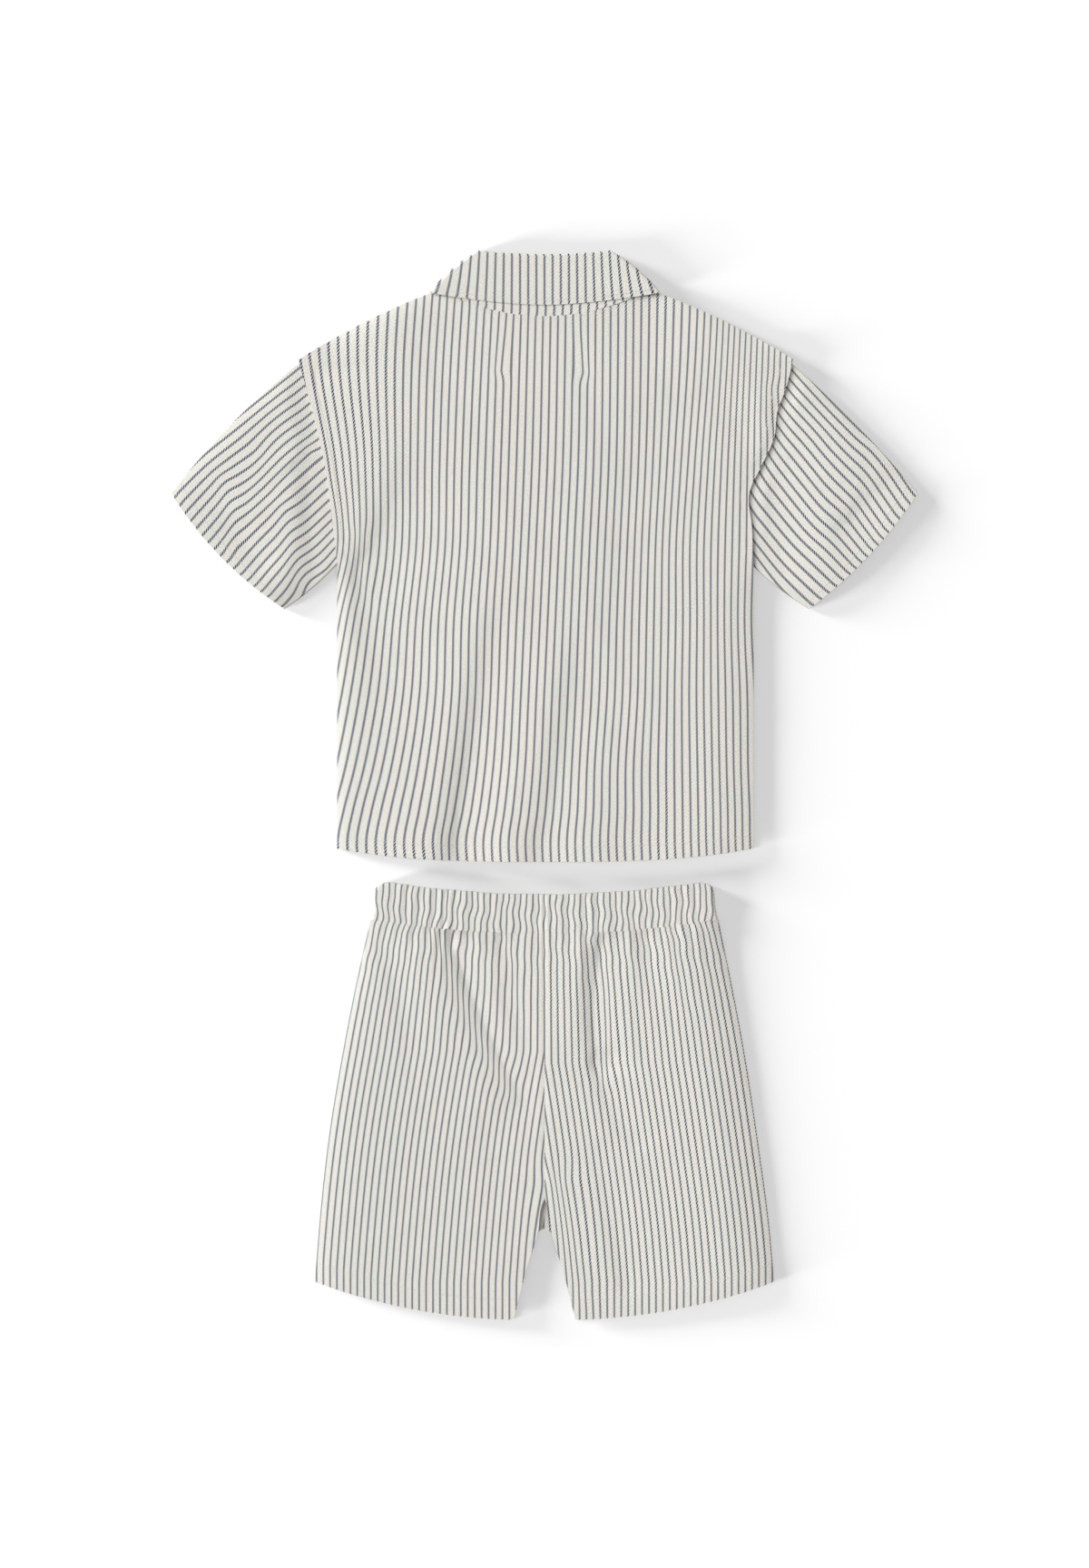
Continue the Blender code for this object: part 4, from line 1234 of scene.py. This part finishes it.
@dataclass(frozen=True)
class FlatTube:
    """A tube laid flat: an upper and a lower layer, joined by a round turn down each side.

    upper, lower and turn are the counts of columns in each. plan(place, v) is the flat tube's
    plan, with place from 0 at its first side to 1 at its last. rise(x, y, place) is how far the
    upper layer stands over the level high.
    """

    plan: Surface
    rise: Cloth
    low: float
    high: float
    upper: int
    lower: int
    turn: int

    def around(self) -> int:
        """Columns all round."""
        return self.upper + self.lower + 2 * self.turn

    def place(self, u: Array) -> Array:
        """Where each column lies across the flat tube, 0 to 1 on top and back to 0 beneath."""
        column = u * self.around()
        on_top = passed(column, self.turn, self.upper)
        beneath = passed(column - 2 * self.turn, self.upper, self.lower)
        return on_top - beneath

    def surface(self, u: Array, v: Array) -> Array:
        """The tube's middle: its level plus a half circle at each side, and the rise on top."""
        column = u * self.around()
        radius = (self.high - self.low) / 2
        sides = self.plan(np.zeros_like(v), v), self.plan(np.ones_like(v), v)
        width = np.linalg.norm(sides[1] - sides[0], axis=1)
        rim = (radius + SOLID_WALL / 2) / width
        first, second = column / self.turn, (column - self.turn - self.upper) / self.turn
        angle = np.pi * (np.clip(first, 0.0, 1.0) + np.clip(second, 0.0, 1.0) - 0.5)
        across = blend(rim, 1.0 - rim, self.place(u))
        out = np.where(column <= self.turn, -1.0, 1.0) * np.abs(np.cos(angle)) * radius / width
        flat = self.plan(across + out, v)
        lifted = (column > self.turn) & (column < self.turn + self.upper)
        z = (self.low + self.high) / 2 + radius * np.sin(angle)
        z = z + np.where(lifted, self.rise(flat[:, 0], flat[:, 1], self.place(u)), 0.0)
        return np.column_stack([flat, z])

    def panel(self, node: str, cloth: Cloth, wall: Surface, finer: int, rows: int) -> Panel:
        """Makes the tube's panel.

        Args:
            node: The solid that it stands for.
            cloth: The stripe number and the length along it.
            wall: The cloth's thickness.
            finer: How many times each of the tube's columns is split.
            rows: Points down the tube.

        Returns:
            A closed panel, with its surface in the middle of its wall.
        """
        columns = np.linspace(0.0, 1.0, self.around() * finer + 1)
        laws, rows = (self.surface, cloth, wall), np.linspace(0.0, 1.0, rows)
        return Panel(f"{node}_cloth", *laws, columns, rows, closed=True, outward=0.5)


@dataclass(frozen=True)
class Sleeve:
    """A short sleeve, folded along its top and seamed under the arm."""

    name: str
    head: Line
    armhole: Line
    cuff_top: Point
    cuff_low: Point
    top_bow: float
    cuff_bow: float
    under_bow: float
    flow: StripeFlow
    folds: tuple[Fold, ...]
    pulls: tuple[Pull, ...]
    tuck: float
    loft: float = 2.2
    low: float = 0.65
    turn_rise: float = 2.1
    hem_share: float = 0.085
    length: float = 150.0

    def plan(self, place: Array, v: Array) -> Array:
        """A patch between four curves: the head, the cuff, the top fold and the underarm seam.

        It is the sum of the two ruled surfaces, less the one through the four corners.
        """
        across, down = place[:, None], v[:, None]
        head = along(self.head, place)
        cuff = bowed(self.cuff_top, self.cuff_low, self.cuff_bow, place)
        top = bowed(self.head[0], self.cuff_top, self.top_bow, v)
        under = bowed(self.head[-1], self.cuff_low, self.under_bow, v)
        ends = blend(np.array(self.head[0]), np.array(self.head[-1]), across)
        cuff_ends = blend(np.array(self.cuff_top), np.array(self.cuff_low), across)
        return blend(head, cuff, down) + blend(top, under, across) - blend(ends, cuff_ends, down)

    def rise(self, x: Array, y: Array, place: Array) -> Array:
        """The upper layer's loft and folds, from nothing at the two sides and under the back."""
        width = np.hypot(self.cuff_top[0] - self.cuff_low[0], self.cuff_top[1] - self.cuff_low[1])
        from_back = np.abs(x) - np.abs(x_at(self.armhole, y))
        rim = 1.0 - np.exp(-np.minimum(place, 1.0 - place) * width / RIM)
        wave = 0.2 * ripples(x, y, 52.0, 1.1 + self.top_bow)
        lift = (self.loft + folded(self.folds, x, y) + wave) * rim
        return np.maximum(lift * smooth((from_back - 1.0) / self.tuck), 0.0)

    def dress(self, finishes: Finishes) -> None:
        """Builds the sleeve and the stitching of its cuff's hem."""
        tube = FlatTube(self.plan, self.rise, self.low, self.low + self.turn_rise, 12, 6, 2)

        def cloth(u: Array, v: Array, points: Array) -> Array:
            """Stripes from the flow table, carried on round the two turned sides."""
            column = u * tube.around()
            before = np.clip(1.0 - column / tube.turn, 0.0, 1.0)
            after = passed(column - tube.turn, tube.upper, tube.turn)
            number = self.flow.number(tube.place(u), v)
            last = self.flow.number(np.ones_like(v), v)
            number = np.where(after > 0.0, 2.0 * last - number, number)
            number = number + (after - before) * np.pi * self.turn_rise / 2 / PITCH
            number = number + pulled(self.pulls, points[:, 0], points[:, 1])
            return np.column_stack([number, v * self.length / PITCH])

        def wall(u: Array, v: Array) -> Array:
            """Cloth, doubled in the hem."""
            return CLOTH + DOUBLED * smooth((v - 1.0 + self.hem_share) / 0.02)

        panel = tube.panel(self.name, cloth, wall, 9, 96)
        t = np.linspace(0.0, 1.0, 300)
        first, last = tube.turn / tube.around(), (tube.turn + tube.upper) / tube.around()
        hem = np.full_like(t, 1.0 - self.hem_share + 0.012)
        lines = [panel.line(blend(first, last, t), hem)]
        lay_cloth(panel, self.name, finishes, lines)


SLEEVE_LEFT = Sleeve(
    "sleeve_left", HEAD_LEFT, ARMHOLE_LEFT, (-296.0, 231.1), (-206.0, 138.8), -4.4, -7.2, 2.2,
    SLEEVE_FLOW_LEFT,
    (
        #     x0     y0     x1     y1   bow   width rise0 rise1
        Fold(-184.0, 268.0, -177.0, 156.0, -4.0, 10.0, -1.0, -2.2),
        Fold(-204.0, 252.0, -207.0, 160.0, 4.0, 12.0, 1.4, 1.6),
        Fold(-272.0, 236.0, -224.0, 176.0, 0.0, 9.0, -0.5, -1.4),
        Fold(-196.0, 252.0, -222.0, 232.0, 2.0, 5.0, -0.7, -0.2),
        Fold(-228.0, 214.0, -262.0, 206.0, -3.0, 8.0, 0.5, 0.3),
    ),
    (
        #     x0     y0      x1     y1     bow  width shift0 shift1
        Pull(-186.0, 262.0, -208.0, 236.0, 0.0, 7.0, 0.35, 0.15, Way.BEND),
        Pull(-228.0, 262.0, -236.0, 226.0, 0.0, 10.0, -0.2, -0.12, Way.BEND),
        Pull(-205.0, 215.0, -192.0, 160.0, 0.0, 9.0, 0.25, 0.3, Way.BEND),
        Pull(-254.0, 240.0, -246.0, 190.0, 3.0, 8.0, 0.2, 0.25, Way.BEND),
    ),
    20.0,
)
SLEEVE_RIGHT = Sleeve(
    "sleeve_right", HEAD_RIGHT, ARMHOLE_RIGHT, (296.0, 231.1), (209.6, 138.8), 2.8, 5.8, -2.4,
    SLEEVE_FLOW_RIGHT,
    (
        #     x0     y0     x1     y1   bow   width rise0 rise1
        Fold(197.0, 292.0, 180.0, 170.0, -5.0, 13.0, -1.0, -3.0),
        Fold(236.0, 280.0, 222.0, 178.0, -4.0, 16.0, 0.6, 1.0),
        Fold(236.0, 200.0, 278.0, 242.0, 0.0, 9.0, -1.0, -0.8),
        Fold(250.0, 262.0, 238.0, 214.0, 2.0, 7.0, 0.4, 0.5),
    ),
    (
        #     x0     y0      x1     y1     bow  width shift0 shift1
        Pull(256.0, 262.0, 244.0, 216.0, 2.0, 11.0, 0.12, 0.1, Way.BEND),
        Pull(224.0, 262.0, 214.0, 200.0, 2.0, 12.0, -0.1, -0.1, Way.BEND),
    ),
    16.0,
)


# Shorts


BAND_TOP_HALF, BAND_SEAM_HALF = 133.0, 137.2
BAND_TOP_SIDE_Y, BAND_TOP_MIDDLE_Y = -77.0, -87.6
BAND_SEAM_SIDE_Y, BAND_SEAM_MIDDLE_Y = -107.4, -118.4
GATHERS = 24
LEG_STRIPES = 29
LEG_SIDE_LEFT = (
    (137.4, -107.4), (145.2, -141.0), (158.4, -206.0), (171.4, -285.0), (179.3, -361.0),
    (181.8, -394.6),
)
LEG_SIDE_RIGHT = (
    (137.4, -107.4), (143.8, -138.0), (155.9, -200.0), (169.2, -285.0), (178.4, -355.0),
    (181.8, -394.6),
)
INSEAM_BACK = ((0.04, -328.0), (2.8, -336.0), (5.0, -354.0), (13.6, -382.0), (24.6, -424.4))
INSEAM_FRONT = ((0.1, -352.4), (5.2, -355.6), (13.6, -382.0), (24.6, -424.4))
SHORTS_FOLDS = (
    #     x0      y0      x1     y1     bow  width rise0  rise1
    Fold(-74.0, -124.0, -14.0, -254.0, -3.0, 3.2, -0.55, -0.4, gentle=1.3),
    Fold(47.0, -122.0, 43.0, -222.0, -5.0, 3.2, -0.4, -0.5, gentle=1.3),
    Fold(-100.0, -116.0, -74.0, -126.0, 0.0, 6.0, -0.8, -1.2),
    Fold(-74.0, -120.0, -14.0, -254.0, -3.0, 8.0, -2.3, -1.0, gentle=3.0),
    Fold(-94.0, -132.0, -40.0, -262.0, 0.0, 10.0, 1.4, 0.8, gentle=3.0),
    Fold(-50.0, -128.0, -26.0, -196.0, 0.0, 6.5, 1.0, 0.5),
    Fold(-133.0, -124.0, -104.0, -240.0, 6.0, 7.0, -1.6, -0.3),
    Fold(-36.0, -120.0, -25.0, -154.0, 0.0, 6.0, -1.8, -0.6),
    Fold(-34.0, -166.0, -15.0, -206.0, 0.0, 6.5, -1.4, -0.5),
    Fold(47.0, -118.0, 43.0, -222.0, -5.0, 7.0, -1.6, -1.9, gentle=3.2),
    Fold(43.0, -222.0, 72.0, -284.0, -4.0, 8.0, -1.9, -0.7, gentle=2.6),
    Fold(30.0, -130.0, 26.0, -200.0, -3.0, 7.0, 1.6, 0.8),
    Fold(66.0, -126.0, 68.0, -210.0, -2.0, 8.0, 0.7, 0.5),
    Fold(78.0, -119.0, 86.0, -166.0, 0.0, 6.0, -1.8, -0.4),
    Fold(116.0, -120.0, 148.0, -392.0, 0.0, 24.0, 1.5, 1.9, gentle=1.6),
    Fold(44.0, -290.0, 66.0, -398.0, 0.0, 9.0, -0.4, -1.2),
    Fold(-48.0, -270.0, -36.0, -340.0, 2.0, 8.0, -0.9, -0.3),
)


def uneven(place: Array) -> Array:
    """How far the gathers stray from an even spacing, as a share of half the waist."""
    wide, narrow = 0.030 * np.sin(6 * np.pi * place), 0.016 * np.sin(14 * np.pi * place)
    return (wide + narrow) * np.sin(np.pi * place)


def band_y(across: Array, side_y: float, middle_y: float) -> Array:
    """An edge of the band, which dips to the middle with the square of across, -1 to 1."""
    return blend(middle_y, side_y, across**2)


def gather_strength(x: Array, y: Array) -> Array:
    """How strong the gathers are along the waist, about 1."""
    return 1.0 + 0.35 * np.sin(x / 17.0) + 0.2 * np.sin(x / 7.1 + y / 6.0)


def sway(x: Array, y: Array) -> Array:
    """How far the gathers push the stripes to the left, in millimetres.

    Waves down the stripes, which die away below the waist seam, and a lean over the left half.
    """
    below = np.maximum(BAND_SEAM_MIDDLE_Y - y, 0.0)
    wave = 0.6 * np.sin(2 * np.pi * y / 31.0 + 2.2 * np.sin(x / 11.0) + x / 19.0)
    fine = 0.3 * np.sin(y / 2.6 + x / 7.0)
    lean = 3.6 * np.exp(-(((x + 72.0) / 44.0) ** 2)) * smooth((-80.0 - y) / 40.0)
    lean = lean * np.exp(-below / 45.0)
    return (wave + fine) * np.exp(-below / 24.0) + lean


SHORTS_PULLS = (
    #     x0     y0      x1     y1     bow  width shift0 shift1
    Pull(-86.0, -112.0, -28.0, -240.0, -7.0, 9.0, 0.55, 0.6),
    Pull(-88.0, -112.0, -76.0, -134.0, 0.0, 8.0, 0.5, 0.3, Way.BEND),
    Pull(-33.0, -112.0, -22.0, -176.0, 2.0, 6.0, 0.5, 0.3),
    Pull(42.0, -104.0, 46.0, -236.0, 6.0, 7.0, 0.45, 0.5),
    Pull(40.0, -126.0, 38.0, -150.0, 0.0, 8.0, 0.5, 0.2, Way.BEND),
    Pull(98.0, -108.0, 110.0, -176.0, 0.0, 8.0, 0.45, 0.2),
    Pull(10.0, -318.0, 24.0, -400.0, 0.0, 15.0, 1.3, 0.5),
)


@dataclass(frozen=True)
class Waistband:
    """The elastic casing: a tube, gathered where it shows and flat beneath."""

    wall: float = 1.2
    low: float = 0.75
    high: float = 5.2
    gather_rise: float = 0.27
    corner: float = 4.0
    pull_fade: float = 7.0

    def plan(self, place: Array, v: Array) -> Array:
        """Across the waist between the bowed top edge and the bowed seam."""
        across = 2.0 * place - 1.0 + uneven(np.clip(place, 0.0, 1.0))
        top = band_y(across, BAND_TOP_SIDE_Y, BAND_TOP_MIDDLE_Y)
        top = top + 0.3 * np.cos(2 * np.pi * GATHERS * place) + 0.25 * np.sin(31.0 * place)
        seam = band_y(across, BAND_SEAM_SIDE_Y, BAND_SEAM_MIDDLE_Y)
        corner = 0.5 * self.corner * (1.0 - np.clip(v * 6.0, 0.0, 1.0)) ** 2
        half = blend(BAND_TOP_HALF, BAND_SEAM_HALF, v) - corner
        half = half + 0.5 * np.sin(v * 7.0) * np.sin(np.pi * v)
        drop = self.corner * passed(np.abs(across), 0.94, 0.06) ** 2 * (1.0 - v) ** 3
        return np.column_stack([across * half, blend(top, seam, v) - drop])

    def stripe_gap(self) -> float:
        """The stripes' spacing along the waist, the same as on the legs at the seam."""
        return BAND_SEAM_HALF / LEG_STRIPES

    def rise(self, x: Array, y: Array, place: Array) -> Array:
        """Gathers: a cosine across, stronger and weaker along the waist."""
        ends = smooth(np.minimum(place, 1.0 - place) * GATHERS)
        main = gather_strength(x, y) * (1.0 - np.cos(2 * np.pi * GATHERS * place))
        return self.gather_rise * main * ends

    def dress(self, finishes: Finishes) -> None:
        """Builds the band."""
        tube = FlatTube(self.plan, self.rise, self.low, self.high, 4 * GATHERS, 10, 3)

        def cloth(u: Array, v: Array, points: Array) -> Array:
            """Stripes at one gap, moved by the gathers and, near the seam, by the pulls."""
            x, y = points[:, 0], points[:, 1]
            fade = np.exp(-np.maximum(y - BAND_SEAM_MIDDLE_Y, 0.0) / self.pull_fade)
            number = (x + sway(x, y)) / self.stripe_gap() + fade * pulled(SHORTS_PULLS, x, y)
            return np.column_stack([number, y / PITCH])

        def wall(u: Array, v: Array) -> Array:
            """One thickness all round."""
            return np.full_like(u, self.wall)

        panel = tube.panel("waistband", cloth, wall, 5, 28)
        lay_cloth(panel, "waistband", finishes, [])


@dataclass(frozen=True)
class Leg:
    """One leg of the shorts: its back panel with its folds, and its front panel beneath."""

    side_name: str
    mirror: int
    side: Line
    band_level: float = 5.2
    loft: float = 2.3
    gather_rise: float = 0.38
    gather_reach: float = 26.0
    widest_gap: float = 5.5
    hem_bow: float = -6.8
    hem_depth: float = 18.0
    length: float = 400.0
    turn_rise: float = 2.1
    rim_drop: float = 0.75

    def plan(self, u: Array, share: Array, inseam: Line) -> tuple[Array, Array]:
        """Lays out a panel.

        Args:
            u: Places from the side seam in, 0 to 1.
            share: The share of the way down.
            inseam: The panel's inner edge.

        Returns:
            How far across and how far up each place is, on the right leg.
        """
        outer_y = blend(BAND_SEAM_SIDE_Y, self.side[-1][1], share)
        inner_y = blend(BAND_SEAM_MIDDLE_Y, inseam[-1][1], share)
        from_side = u + uneven(u / 2.0)
        x = blend(x_at(self.side, outer_y), x_at(inseam, inner_y), from_side)
        top = band_y(1.0 - from_side, BAND_SEAM_SIDE_Y, BAND_SEAM_MIDDLE_Y) + 0.12
        hem = blend(self.side[-1][1], inseam[-1][1], from_side)
        hem = hem + 4.0 * self.hem_bow * from_side * (1.0 - from_side)
        return x, blend(top, hem, share)

    def back_surface(self, u: Array, v: Array) -> Array:
        """Underside of the back panel: its plan, lifted by the loft, the gathers and the folds."""
        crotch = (BAND_SEAM_MIDDLE_Y - INSEAM_BACK[0][1]) / (BAND_SEAM_MIDDLE_Y - INSEAM_BACK[-1][1])
        share = steps(v, (0.0, 0.0), (0.25, 0.12), (0.75, crotch), (1.0, 1.0))
        x, y = self.plan(u, share, INSEAM_BACK)
        from_band = band_y(x / BAND_SEAM_HALF, BAND_SEAM_SIDE_Y, BAND_SEAM_MIDDLE_Y) - y
        near = np.exp(-np.maximum(from_band, 0.0) / 12.0)
        ends = smooth(u * GATHERS / 2)
        gathers = gather_strength(self.mirror * x, y) * (1.0 - np.cos(np.pi * GATHERS * u)) * ends
        gathers = self.gather_rise * gathers * np.exp(-np.maximum(from_band, 0.0) / self.gather_reach)
        side_rim = np.exp(-u * self.side[0][0] / RIM)
        beside_seam = smooth((9.0 - x) / 3.0) * smooth((x - 1.5) / 3.0)
        seam_dip = 0.28 * np.exp(-((x / 1.6) ** 2)) - 0.12 * beside_seam
        wave = 0.16 * ripples(x, y, 62.0, 2.2 * self.mirror) + 0.08 * ripples(x, y, 24.0, 0.7)
        lift = (self.band_level - LAYER - self.loft) * near
        clear = 1.0 - np.exp(-np.maximum(from_band, 0.0) / 5.0)
        fold = folded(SHORTS_FOLDS, self.mirror * x, y) * clear
        rise = (self.loft + lift + gathers + fold + wave - seam_dip) * (1.0 - side_rim)
        rise = rise + self.turn_rise * side_rim * near - self.rim_drop * side_rim * (1.0 - near)
        return np.column_stack([self.mirror * x, y, LAYER + np.maximum(rise, -self.rim_drop)])

    def front_surface(self, u: Array, v: Array) -> Array:
        """Underside of the front panel, flat on the floor, its crotch lower than the back's."""
        drop = BAND_SEAM_MIDDLE_Y - INSEAM_FRONT[-1][1]
        crotch, round_end = [(BAND_SEAM_MIDDLE_Y - y) / drop for x, y in INSEAM_FRONT[:2]]
        share = steps(v, (0.0, 0.0), (0.6, crotch), (0.7, round_end), (1.0, 1.0))
        x, y = self.plan(u, share, INSEAM_FRONT)
        z = FLOOR_CLEAR + 0.3 * smooth(ripples(x, y, 58.0, 4.0 + self.mirror))
        return np.column_stack([self.mirror * (x - 0.3 * (1.0 - u)), y, z])

    def cloth(self, u: Array, v: Array, points: Array) -> Array:
        """Stripes counted in from the side, which they follow, wider apart below the gathers."""
        x, y = self.mirror * points[:, 0], points[:, 1]
        (hem_x, hem_y), (inseam_x, inseam_y) = self.side[-1], INSEAM_BACK[-1]
        t = np.clip((x - inseam_x) / (hem_x - inseam_x), 0.0, 1.0)
        hem_top = blend(inseam_y, hem_y, t) + 4.0 * self.hem_bow * t * (1.0 - t) + self.hem_depth
        edge = x_at(self.side, np.maximum(y, hem_top))
        gap = np.minimum(edge / LEG_STRIPES, self.widest_gap)
        number = points[:, 0] + sway(points[:, 0], y) - self.mirror * edge
        return np.column_stack([number / gap + pulled(SHORTS_PULLS, points[:, 0], y), y / PITCH])

    def wall(self, u: Array, v: Array) -> Array:
        """Cloth, doubled in the hem."""
        return CLOTH + DOUBLED * smooth((v - 1.0 + self.hem_depth / self.length) * self.length / 3.0)

    def dress(self, finishes: Finishes) -> None:
        """Builds both panels and their hem stitching."""
        columns, fewer = (np.linspace(0, 1, count)[:: -self.mirror] for count in (121, 61))
        rows = steps(np.linspace(0, 1, 161), (0.0, 0.0), (0.92, 0.94), (1.0, 1.0))
        back, front = f"shorts_back_{self.side_name}", f"shorts_front_{self.side_name}"
        fewer_rows = np.linspace(0.0, 1.0, 91)
        t = np.linspace(0.0, 1.0, 300)
        hem = np.full_like(t, 1.0 - (self.hem_depth - 2.0) / self.length)
        for node, surface, across, down, rests_on in (
            (back, self.back_surface, columns, rows, f"{front}_cloth"),
            (front, self.front_surface, fewer, fewer_rows, "floor"),
        ):
            panel = Panel(f"{node}_cloth", surface, self.cloth, self.wall, across, down)
            lines = [panel.line(blend(0.01, 0.99, t), hem)]
            lay_cloth(panel, node, finishes, lines)


# Buttons


@dataclass(frozen=True)
class Buttons:
    """Flat four-hole buttons at the front opening, under the left front."""

    radius: float = 5.7
    thick: float = 1.6
    top_y: float = 306.0
    pitch: float = 84.0
    count: int = 5
    hole_from_middle: float = 1.55
    hole_radius: float = 0.62
    dish: float = 0.35
    rings: int = 40
    sides: int = 64

    def face(self, r: Array, angle: Array) -> Array:
        """Height of a face over the button's middle plane: a rounded rim, a dish and four holes."""
        x, y = r * np.cos(angle), r * np.sin(angle)
        rim = self.thick / 2 * np.sqrt(np.clip(1.0 - (r / self.radius) ** 10, 0.0, 1.0))
        dish = self.dish * smooth((4.0 - r) / 1.2)
        hole = np.abs(x) - self.hole_from_middle, np.abs(y) - self.hole_from_middle
        depth = smooth((self.hole_radius + 0.25 - np.hypot(*hole)) / 0.35)
        return (rim - dish) * (1.0 - 0.98 * depth)

    def dress(self, finishes: Finishes) -> None:
        """Builds each button: the face turned over for the underside, joined at the rim."""
        rings, sides = self.rings, self.sides
        share = np.linspace(0.0, 1.0, rings)
        r = self.radius * np.concatenate([share, share[::-1][1:]])
        top = np.concatenate([np.ones(rings), -np.ones(rings - 1)])
        ring, side = (part.ravel() for part in np.indices((len(r), sides)))
        angle = 2 * np.pi * side / sides
        z = top[ring] * self.face(r[ring], angle) + self.thick / 2
        x, y = r[ring] * np.cos(angle), r[ring] * np.sin(angle)
        row, here = (part.ravel() for part in np.indices((len(r) - 1, sides)))
        after, row, following = (here + 1) % sides, row * sides, (row + 1) * sides
        corners = [row + here, following + here, following + after, row + after]
        faces = np.stack(corners, axis=1)
        for index in range(self.count):
            name = f"button_{index + 1}"
            middle_y = self.top_y - self.pitch * index
            points = np.column_stack([x, y + middle_y, z + FLOOR_CLEAR])
            piece = mesh_object(f"{name}_turned", points, faces)
            self.close(piece)
            finish_piece(piece, finishes.plastic)
            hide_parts(name)

    def close(self, piece: bpy.types.Object) -> None:
        """Merges the points at the two middles and at the rim."""
        work = bmesh.new()
        work.from_mesh(piece.data)
        bmesh.ops.remove_doubles(work, verts=work.verts, dist=1e-6)
        bmesh.ops.recalc_face_normals(work, faces=work.faces)
        work.to_mesh(piece.data)
        work.free()


# Studio


class Lights(Enum):
    """What a lamp lights. The name is the floor's state in the lamp's light linking."""

    FLOOR = "INCLUDE"
    CLOTH = "EXCLUDE"


@dataclass(frozen=True)
class Lamp:
    """A far lamp, by the direction it shines from, how broad it looks, and its power.

    turn is its compass angle from +X round to +Y, and height its angle over the floor. The cloth
    and the floor have lamps of their own, as a soft key on the folds would throw too hard a
    shadow, and a raking light that draws a broad one would make the folds harsh.
    """

    name: str
    turn: float
    height: float
    breadth: float
    power: float
    lights: Lights

    def hang(self, floor: bpy.types.Object) -> None:
        """Adds the lamp, which lights only the floor, or all but the floor."""
        lamp = bpy.data.lights.new(self.name, "SUN")
        lamp.energy = self.power
        lamp.angle = np.radians(self.breadth)
        sun = bpy.data.objects.new(self.name, lamp)
        turn, height = np.radians(self.turn), np.radians(self.height)
        level = np.cos(height)
        shines_from = Vector((level * np.cos(turn), level * np.sin(turn), np.sin(height)))
        sun.rotation_euler = shines_from.to_track_quat("Z", "Y").to_euler()
        bpy.context.scene.collection.objects.link(sun)
        receivers = bpy.data.collections.new(f"{self.name}_receivers")
        receivers.objects.link(floor)
        receivers.collection_objects[0].light_linking.link_state = self.lights.value
        sun.light_linking.receiver_collection = receivers


@dataclass(frozen=True)
class Studio:
    """A plain white floor, soft light from the upper left and a camera straight above."""

    frame_height: float = 1728 * 0.72
    focal: float = 85.0
    sensor: float = 36.0
    floor_half: float = 6000.0
    sky_strength: float = 0.44
    lamps: tuple[Lamp, ...] = (
        Lamp("key", 156.0, 38.0, 50.0, 3.34, Lights.CLOTH),
        Lamp("overhead", 90.0, 90.0, 20.0, 2.65, Lights.FLOOR),
        Lamp("rake_above", 158.0, 6.0, 12.0, 11.6, Lights.FLOOR),
        Lamp("rake_below", 199.0, 6.0, 12.0, 11.2, Lights.FLOOR),
    )

    def floor(self, finishes: Finishes) -> bpy.types.Object:
        """A flat floor at z = 0."""
        half = self.floor_half
        signs = np.array([[-1, -1, 0], [1, -1, 0], [1, 1, 0], [-1, 1, 0]], float)
        floor = mesh_object("floor", signs * half, np.array([[0, 1, 2, 3]]))
        floor.data.materials.append(finishes.paper)
        return floor

    def lights(self, floor: bpy.types.Object) -> None:
        """The lamps and an even white sky."""
        for lamp in self.lamps:
            lamp.hang(floor)
        sky = bpy.data.worlds.new("studio")
        sky.use_nodes = True
        backdrop = sky.node_tree.nodes["Background"]
        backdrop.inputs["Color"].default_value = (1.0, 1.0, 1.0, 1.0)
        backdrop.inputs["Strength"].default_value = self.sky_strength
        bpy.context.scene.world = sky

    def camera(self) -> None:
        """A long lens straight above the middle, its frame as high as the photograph's."""
        lens = bpy.data.cameras.new("camera")
        lens.sensor_fit = "VERTICAL"
        lens.sensor_height = self.sensor
        lens.lens = self.focal
        lens.clip_end = 100.0
        camera = bpy.data.objects.new("camera", lens)
        camera.location = (0.0, 0.0, self.focal / self.sensor * self.frame_height * MM)
        bpy.context.scene.collection.objects.link(camera)
        bpy.context.scene.camera = camera
        bpy.context.scene.view_settings.view_transform = "Standard"


def main() -> None:
    """Builds the studio, the finishes and every piece."""
    logging.basicConfig(level=logging.INFO, format="%(name)s: %(message)s")
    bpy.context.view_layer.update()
    finishes = Finishes.make()
    studio = Studio()
    studio.lights(studio.floor(finishes))
    studio.camera()
    body = ShirtBody()
    body.dress(finishes)
    Collar(body).dress(finishes)
    SLEEVE_LEFT.dress(finishes)
    SLEEVE_RIGHT.dress(finishes)
    Waistband().dress(finishes)
    Leg("left", -1, LEG_SIDE_LEFT).dress(finishes)
    Leg("right", 1, LEG_SIDE_RIGHT).dress(finishes)
    Buttons().dress(finishes)
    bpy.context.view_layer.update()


if __name__ == "__main__":
    main()
